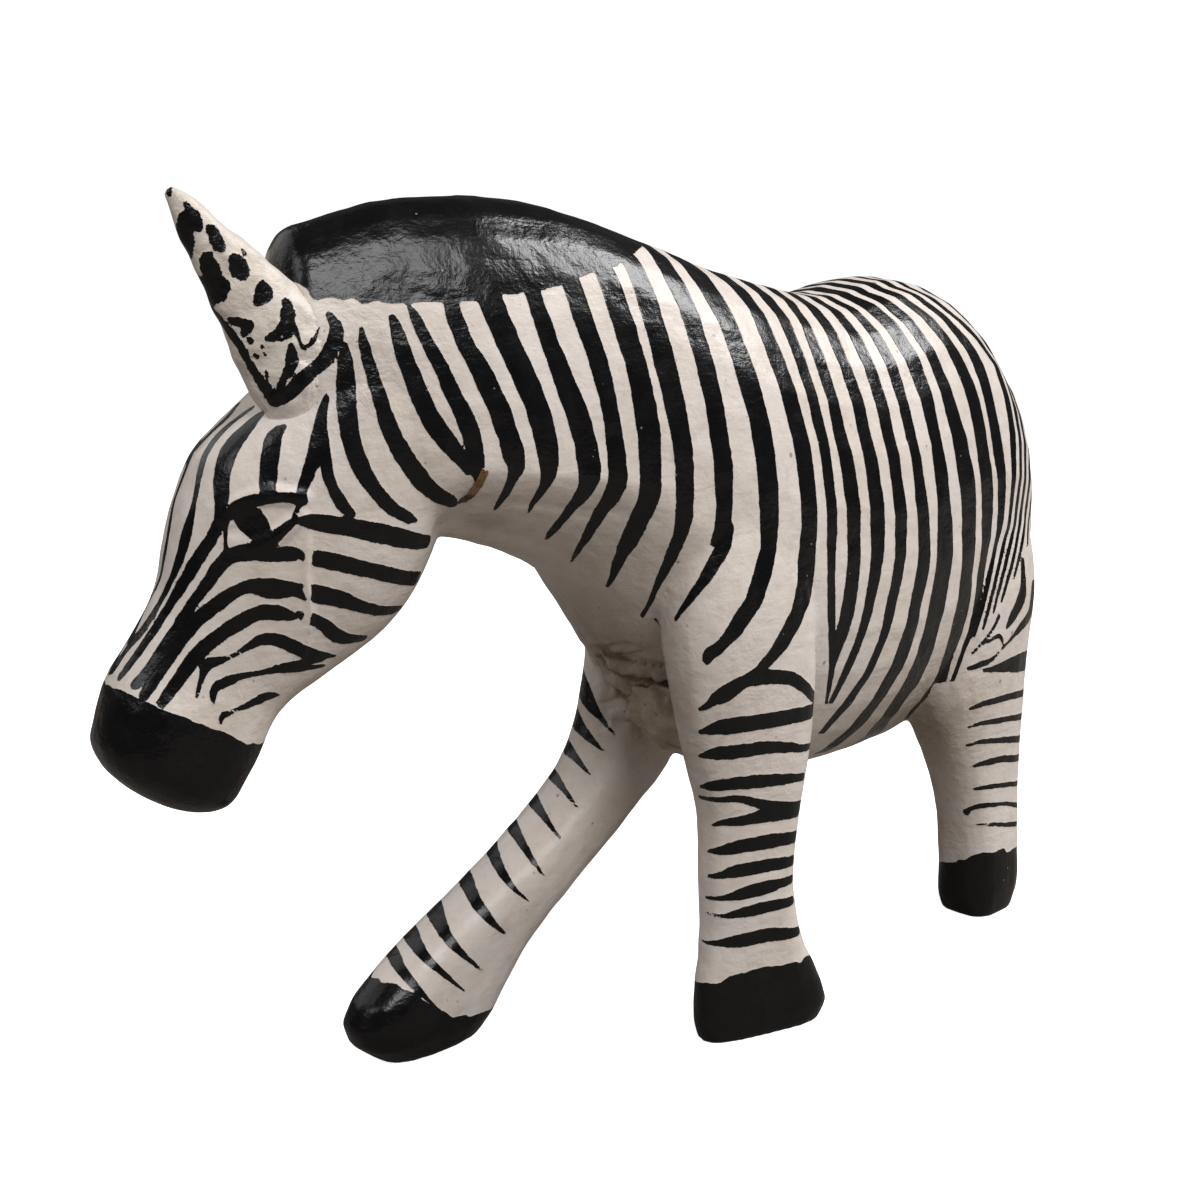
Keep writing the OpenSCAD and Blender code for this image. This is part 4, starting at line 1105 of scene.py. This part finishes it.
# thick brushed paint over wood: relief height in mm
def makePaintRelief():
    inputs = [("Vector", "NodeSocketVector", None), ("Mask", "NodeSocketFloat", 0.0),
              ("Rim", "NodeSocketFloat", 0.0), ("Peel", "NodeSocketFloat", 1.0)]
    g, i, o = nodeGroup("paintRelief", inputs, [("Height", "NodeSocketFloat")])
    v = i.outputs["Vector"]
    peel = noiseAt(g, v, 900, 3.0, 0.6)
    lump = noiseAt(g, v, 260, 3.0, 0.55, distort=0.6)
    grain = noiseAt(g, v, 420, 4.0, 0.6, stretch=(1.0, 0.22, 1.0), distort=0.5)
    h = mathNode(g, "MULTIPLY", peel, 0.10)
    h = mathNode(g, "ADD", h, mathNode(g, "MULTIPLY", lump, 0.22))
    h = mathNode(g, "ADD", h, mathNode(g, "MULTIPLY", grain, 0.16))
    h = mathNode(g, "MULTIPLY", h, i.outputs["Peel"])
    h = mathNode(g, "ADD", h, mathNode(g, "MULTIPLY", i.outputs["Mask"], 0.05))
    h = mathNode(g, "ADD", h, mathNode(g, "MULTIPLY", i.outputs["Rim"], 0.02))
    g.links.new(h, o.inputs["Height"])
    return g


inkEdge = makeInkEdge()
specks = makeSpecks()
paintRelief = makePaintRelief()


def useGroup(tree, group, links=None, **values):
    n = tree.nodes.new("ShaderNodeGroup")
    n.node_tree = group
    for k, v in values.items():
        n.inputs[k].default_value = v
    for k, source in (links or {}).items():
        tree.links.new(source, n.inputs[k])
    return n


def newMaterial(name):
    m = bpy.data.materials.new(name)
    m.use_nodes = True
    m.node_tree.nodes.clear()
    t = m.node_tree
    out = t.nodes.new("ShaderNodeOutputMaterial")
    bsdf = t.nodes.new("ShaderNodeBsdfPrincipled")
    t.links.new(bsdf.outputs[0], out.inputs[0])
    coord = t.nodes.new("ShaderNodeTexCoord").outputs["Object"]
    return m, t, bsdf, coord


def attribute(tree, name):
    n = tree.nodes.new("ShaderNodeAttribute")
    n.attribute_name = name
    return n.outputs["Fac"]


def paintMaterial(name, look):
    m, t, bsdf, v = newMaterial(name)
    ink = attribute(t, "ink")
    dirt_and_shade = attribute(t, "dirt_and_shade")
    edge = useGroup(t, inkEdge, {"Ink": ink, "Vector": v}, Ragged=look["ragged"])
    mask = edge.outputs["Mask"]
    # off-white ground, yellowed unevenly, soiled where hands and glue were, and darkened with painted shade
    # under the neck and on the hind leg's front face
    tone = noiseAt(t, v, 60, 4.0, 0.6)
    ground = mixColor(t, ramp(t, tone, 0.35, 0.7), look["ground"], look["groundWarm"])
    mottle = noiseAt(t, v, 340, 3.0, 0.6)
    dark = mathNode(t, "MULTIPLY", ramp(t, mottle, 0.45, 0.75), 0.4)
    ground = mixColor(t, dark, ground, look["groundDark"])
    # brown mixed in by the attribute: real dirt, and painted shade under the neck and on the hind leg's
    # front
    dirtAndShadeNoise = mathNode(t, "ADD", mathNode(t, "MULTIPLY", noiseAt(t, v, 190, 4.0, 0.65), 0.9), 0.35)
    dirtAndShadeBrown = mathNode(t, "MULTIPLY", dirt_and_shade, dirtAndShadeNoise, clamp=True)
    ground = mixColor(t, dirtAndShadeBrown, ground, look["dirtAndShadeBrown"])
    small = useGroup(t, specks, {"Vector": v}, **look["smallPins"]).outputs[0]
    large = useGroup(t, specks, {"Vector": v}, **look["largePins"]).outputs[0]
    pins = mathNode(t, "MAXIMUM", mathNode(t, "MULTIPLY", small, 0.35), mathNode(t, "MULTIPLY", large, 0.6))
    ground = mixColor(t, pins, ground, look["pin"])
    # black paint, a little thinner in places, with small chips
    thin = ramp(t, noiseAt(t, v, 170, 4.0, 0.7), 0.45, 0.8)
    black = mixColor(t, thin, look["black"], look["blackThin"])
    chip = useGroup(t, specks, {"Vector": v}, **look["chipSpecks"]).outputs[0]
    black = mixColor(t, mathNode(t, "MULTIPLY", chip, look["chips"]), black, look["chipColor"])
    colour = mixColor(t, mask, ground, black)
    t.links.new(colour, bsdf.inputs["Base Color"])
    # gloss differs between ground and black
    shine = noiseAt(t, v, 120, 3.0, 0.6)
    rough = t.nodes.new("ShaderNodeMix")
    rough.inputs[2].default_value = look["roughGround"]
    rough.inputs[3].default_value = look["roughBlack"]
    t.links.new(mask, rough.inputs[0])
    vary = mathNode(t, "MULTIPLY", mathNode(t, "SUBTRACT", shine, 0.5), 0.22)
    t.links.new(mathNode(t, "ADD", rough.outputs[0], vary, clamp=True), bsdf.inputs["Roughness"])
    peel = mathNode(t, "MULTIPLY_ADD", dirt_and_shade, 2.2, look["peel"])
    feeds = {"Vector": v, "Mask": mask, "Rim": edge.outputs["Rim"], "Peel": peel}
    relief = useGroup(t, paintRelief, feeds)
    pit = mathNode(t, "MULTIPLY", pins, -0.12)
    bump = t.nodes.new("ShaderNodeBump")
    bump.inputs["Strength"].default_value = look["bump"]
    bump.inputs["Distance"].default_value = 0.001
    t.links.new(mathNode(t, "ADD", relief.outputs[0], pit), bump.inputs["Height"])
    t.links.new(bump.outputs[0], bsdf.inputs["Normal"])
    bsdf.inputs["Specular IOR Level"].default_value = look["shine"]
    return m


# the brown used for dirt also paints shade under the neck and on the hind leg's front face
bodyLook = {"ragged": 0.5, "ground": (0.66, 0.60, 0.562), "groundWarm": (0.64, 0.565, 0.50),
            "groundDark": (0.50, 0.43, 0.36), "dirtAndShadeBrown": (0.17, 0.115, 0.07), "pin": (0.13, 0.085, 0.05),
            "black": (0.0030, 0.0028, 0.0030), "blackThin": (0.0075, 0.0065, 0.0065),
            "chips": 0.5, "chipColor": (0.35, 0.31, 0.27), "roughGround": 0.40, "roughBlack": 0.25,
            "peel": 1.0, "bump": 0.8, "shine": 0.3,
            "smallPins": {"Scale": 430.0, "Size": 0.11, "Share": 0.12},
            "largePins": {"Scale": 150.0, "Size": 0.07, "Share": 0.15},
            "chipSpecks": {"Scale": 520.0, "Size": 0.10, "Share": 0.05}}
paint = paintMaterial("painted_wood", bodyLook)
# the ear's ground and mottle are darker than the body's, as painted shade for the shadowed white ground of
# the ear; its heavier chips and peeling are real wear
earLookShadedGround = dict(bodyLook, ragged=1.2, ground=(0.64, 0.58, 0.52), groundDark=(0.36, 0.31, 0.27),
               chips=0.8, peel=1.6, bump=0.9)
earPaintShadedGround = paintMaterial("painted_ear_shaded_ground", earLookShadedGround)


def puttyMaterial(name, look):
    m, t, bsdf, v = newMaterial(name)
    lump = noiseAt(t, v, 260, 4.0, 0.65, distort=0.8)
    stain = ramp(t, noiseAt(t, v, 120, 4.0, 0.6), 0.4, 0.68)
    colour = mixColor(t, stain, look["base"], look["stain"])
    pin = useGroup(t, specks, {"Vector": v}, Scale=380.0, Size=0.14, Share=0.2).outputs[0]
    colour = mixColor(t, mathNode(t, "MULTIPLY", pin, 0.6), colour, look["pin"])
    t.links.new(colour, bsdf.inputs["Base Color"])
    rough = ramp(t, lump, 0.3, 0.7, look["rough"] - 0.1, look["rough"] + 0.15)
    t.links.new(rough, bsdf.inputs["Roughness"])
    bump = t.nodes.new("ShaderNodeBump")
    bump.inputs["Strength"].default_value = 0.7
    bump.inputs["Distance"].default_value = 0.001
    t.links.new(mathNode(t, "MULTIPLY", lump, 0.7), bump.inputs["Height"])
    t.links.new(bump.outputs[0], bsdf.inputs["Normal"])
    return m


fillerLook = {"base": (0.36, 0.29, 0.22), "stain": (0.17, 0.12, 0.08), "pin": (0.08, 0.055, 0.035),
              "rough": 0.35}
glueLook = {"base": (0.20, 0.105, 0.035), "stain": (0.030, 0.016, 0.008), "pin": (0.03, 0.02, 0.01),
            "rough": 0.22}
chestFiller = puttyMaterial("chest_filler", fillerLook)
glue = puttyMaterial("glue", glueLook)


def dowelMaterial():
    # bare dowels inside the blocks
    m, t, bsdf, v = newMaterial("dowel_wood")
    rings = noiseAt(t, v, 300, 4.0, 0.6, stretch=(1.0, 0.15, 1.0), distort=1.0)
    colour = mixColor(t, ramp(t, rings, 0.35, 0.65), (0.47, 0.31, 0.17), (0.33, 0.20, 0.10))
    t.links.new(colour, bsdf.inputs["Base Color"])
    bsdf.inputs["Roughness"].default_value = 0.7
    bump = t.nodes.new("ShaderNodeBump")
    bump.inputs["Strength"].default_value = 0.3
    bump.inputs["Distance"].default_value = 0.0005
    t.links.new(rings, bump.inputs["Height"])
    t.links.new(bump.outputs[0], bsdf.inputs["Normal"])
    return m


dowelWood = dowelMaterial()
special = {"left_ear": earPaintShadedGround, "right_ear": earPaintShadedGround, "chest_putty": chestFiller, "throat_glue": glue}
for node, obj in pieces.items():
    obj.data.materials.clear()
    obj.data.materials.append(special.get(node, paint))
    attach(obj, root)
    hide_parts(node)
for node, obj in frame["nodes"].items():
    if node not in pieces:
        if not obj.data.materials:
            obj.data.materials.append(dowelWood)
        for s in obj.material_slots:
            s.material = dowelWood
print("materials assigned")

# floor and light: the floor looks white and throws little light back
floorLook = {"seen": (0.9, 0.9, 0.9), "bounce": (0.22, 0.20, 0.18), "glow": (0.88, 0.88, 0.88)}
floorBm = bmesh.new()
bmesh.ops.create_grid(floorBm, x_segments=1, y_segments=1, size=8.0)
floor = meshObject("floor", floorBm)
floorMat, t, bsdf, v = newMaterial("floor")
bsdf.inputs["Roughness"].default_value = 0.9
bsdf.inputs["Specular IOR Level"].default_value = 0.1
rays = t.nodes.new("ShaderNodeLightPath").outputs["Is Camera Ray"]
t.links.new(mixColor(t, rays, floorLook["bounce"], floorLook["seen"]), bsdf.inputs["Base Color"])
t.links.new(mixColor(t, rays, (0.0, 0.0, 0.0), floorLook["glow"]), bsdf.inputs["Emission Color"])
bsdf.inputs["Emission Strength"].default_value = 1.0
floor.data.materials.append(floorMat)


def softbox(name, light):
    # an area lamp aimed at the middle of the figure
    data = bpy.data.lights.new(name, "AREA")
    data.shape = "RECTANGLE"
    data.size, data.size_y = light["size"]
    data.energy = light["power"]
    obj = bpy.data.objects.new(name, data)
    obj.location = light["place"]
    aim = Vector((0, 0, 0.07))
    obj.rotation_euler = (aim - Vector(light["place"])).to_track_quat("-Z", "Y").to_euler()
    bpy.context.scene.collection.objects.link(obj)


lights = {
    "key": {"place": (0.45, 0.75, 0.85), "size": (0.42, 0.42), "power": 9.8},
    "side": {"place": (0.85, -0.2, 1.0), "size": (0.6, 0.6), "power": 11.0},
    "front": {"place": (0.0, -1.0, 0.95), "size": (0.7, 0.5), "power": 3.8},
    "rim": {"place": (-0.8, -0.3, 0.7), "size": (0.8, 0.8), "power": 2.0},
}
for name, light in lights.items():
    softbox(name, light)
# a white backdrop that gives the figure only a little light, and less still to its gloss
backdrop = {"seen": 1.05, "light": 0.16, "gloss": -0.10}
world = bpy.data.worlds.new("world")
world.use_nodes = True
wt = world.node_tree
wt.nodes.clear()
dim = wt.nodes.new("ShaderNodeBackground")
bright = wt.nodes.new("ShaderNodeBackground")
bright.inputs[1].default_value = backdrop["seen"]
for n in (dim, bright):
    n.inputs[0].default_value = (1, 1, 1, 1)
seen = wt.nodes.new("ShaderNodeLightPath")
soft = mathNode(wt, "MULTIPLY_ADD", seen.outputs["Is Glossy Ray"], backdrop["gloss"], backdrop["light"])
wt.links.new(soft, dim.inputs[1])
pick = wt.nodes.new("ShaderNodeMixShader")
worldOut = wt.nodes.new("ShaderNodeOutputWorld")
wt.links.new(seen.outputs["Is Camera Ray"], pick.inputs[0])
wt.links.new(dim.outputs[0], pick.inputs[1])
wt.links.new(bright.outputs[0], pick.inputs[2])
wt.links.new(pick.outputs[0], worldOut.inputs[0])
bpy.context.scene.world = world
bpy.context.scene.view_settings.view_transform = "Standard"
print("light and floor set")
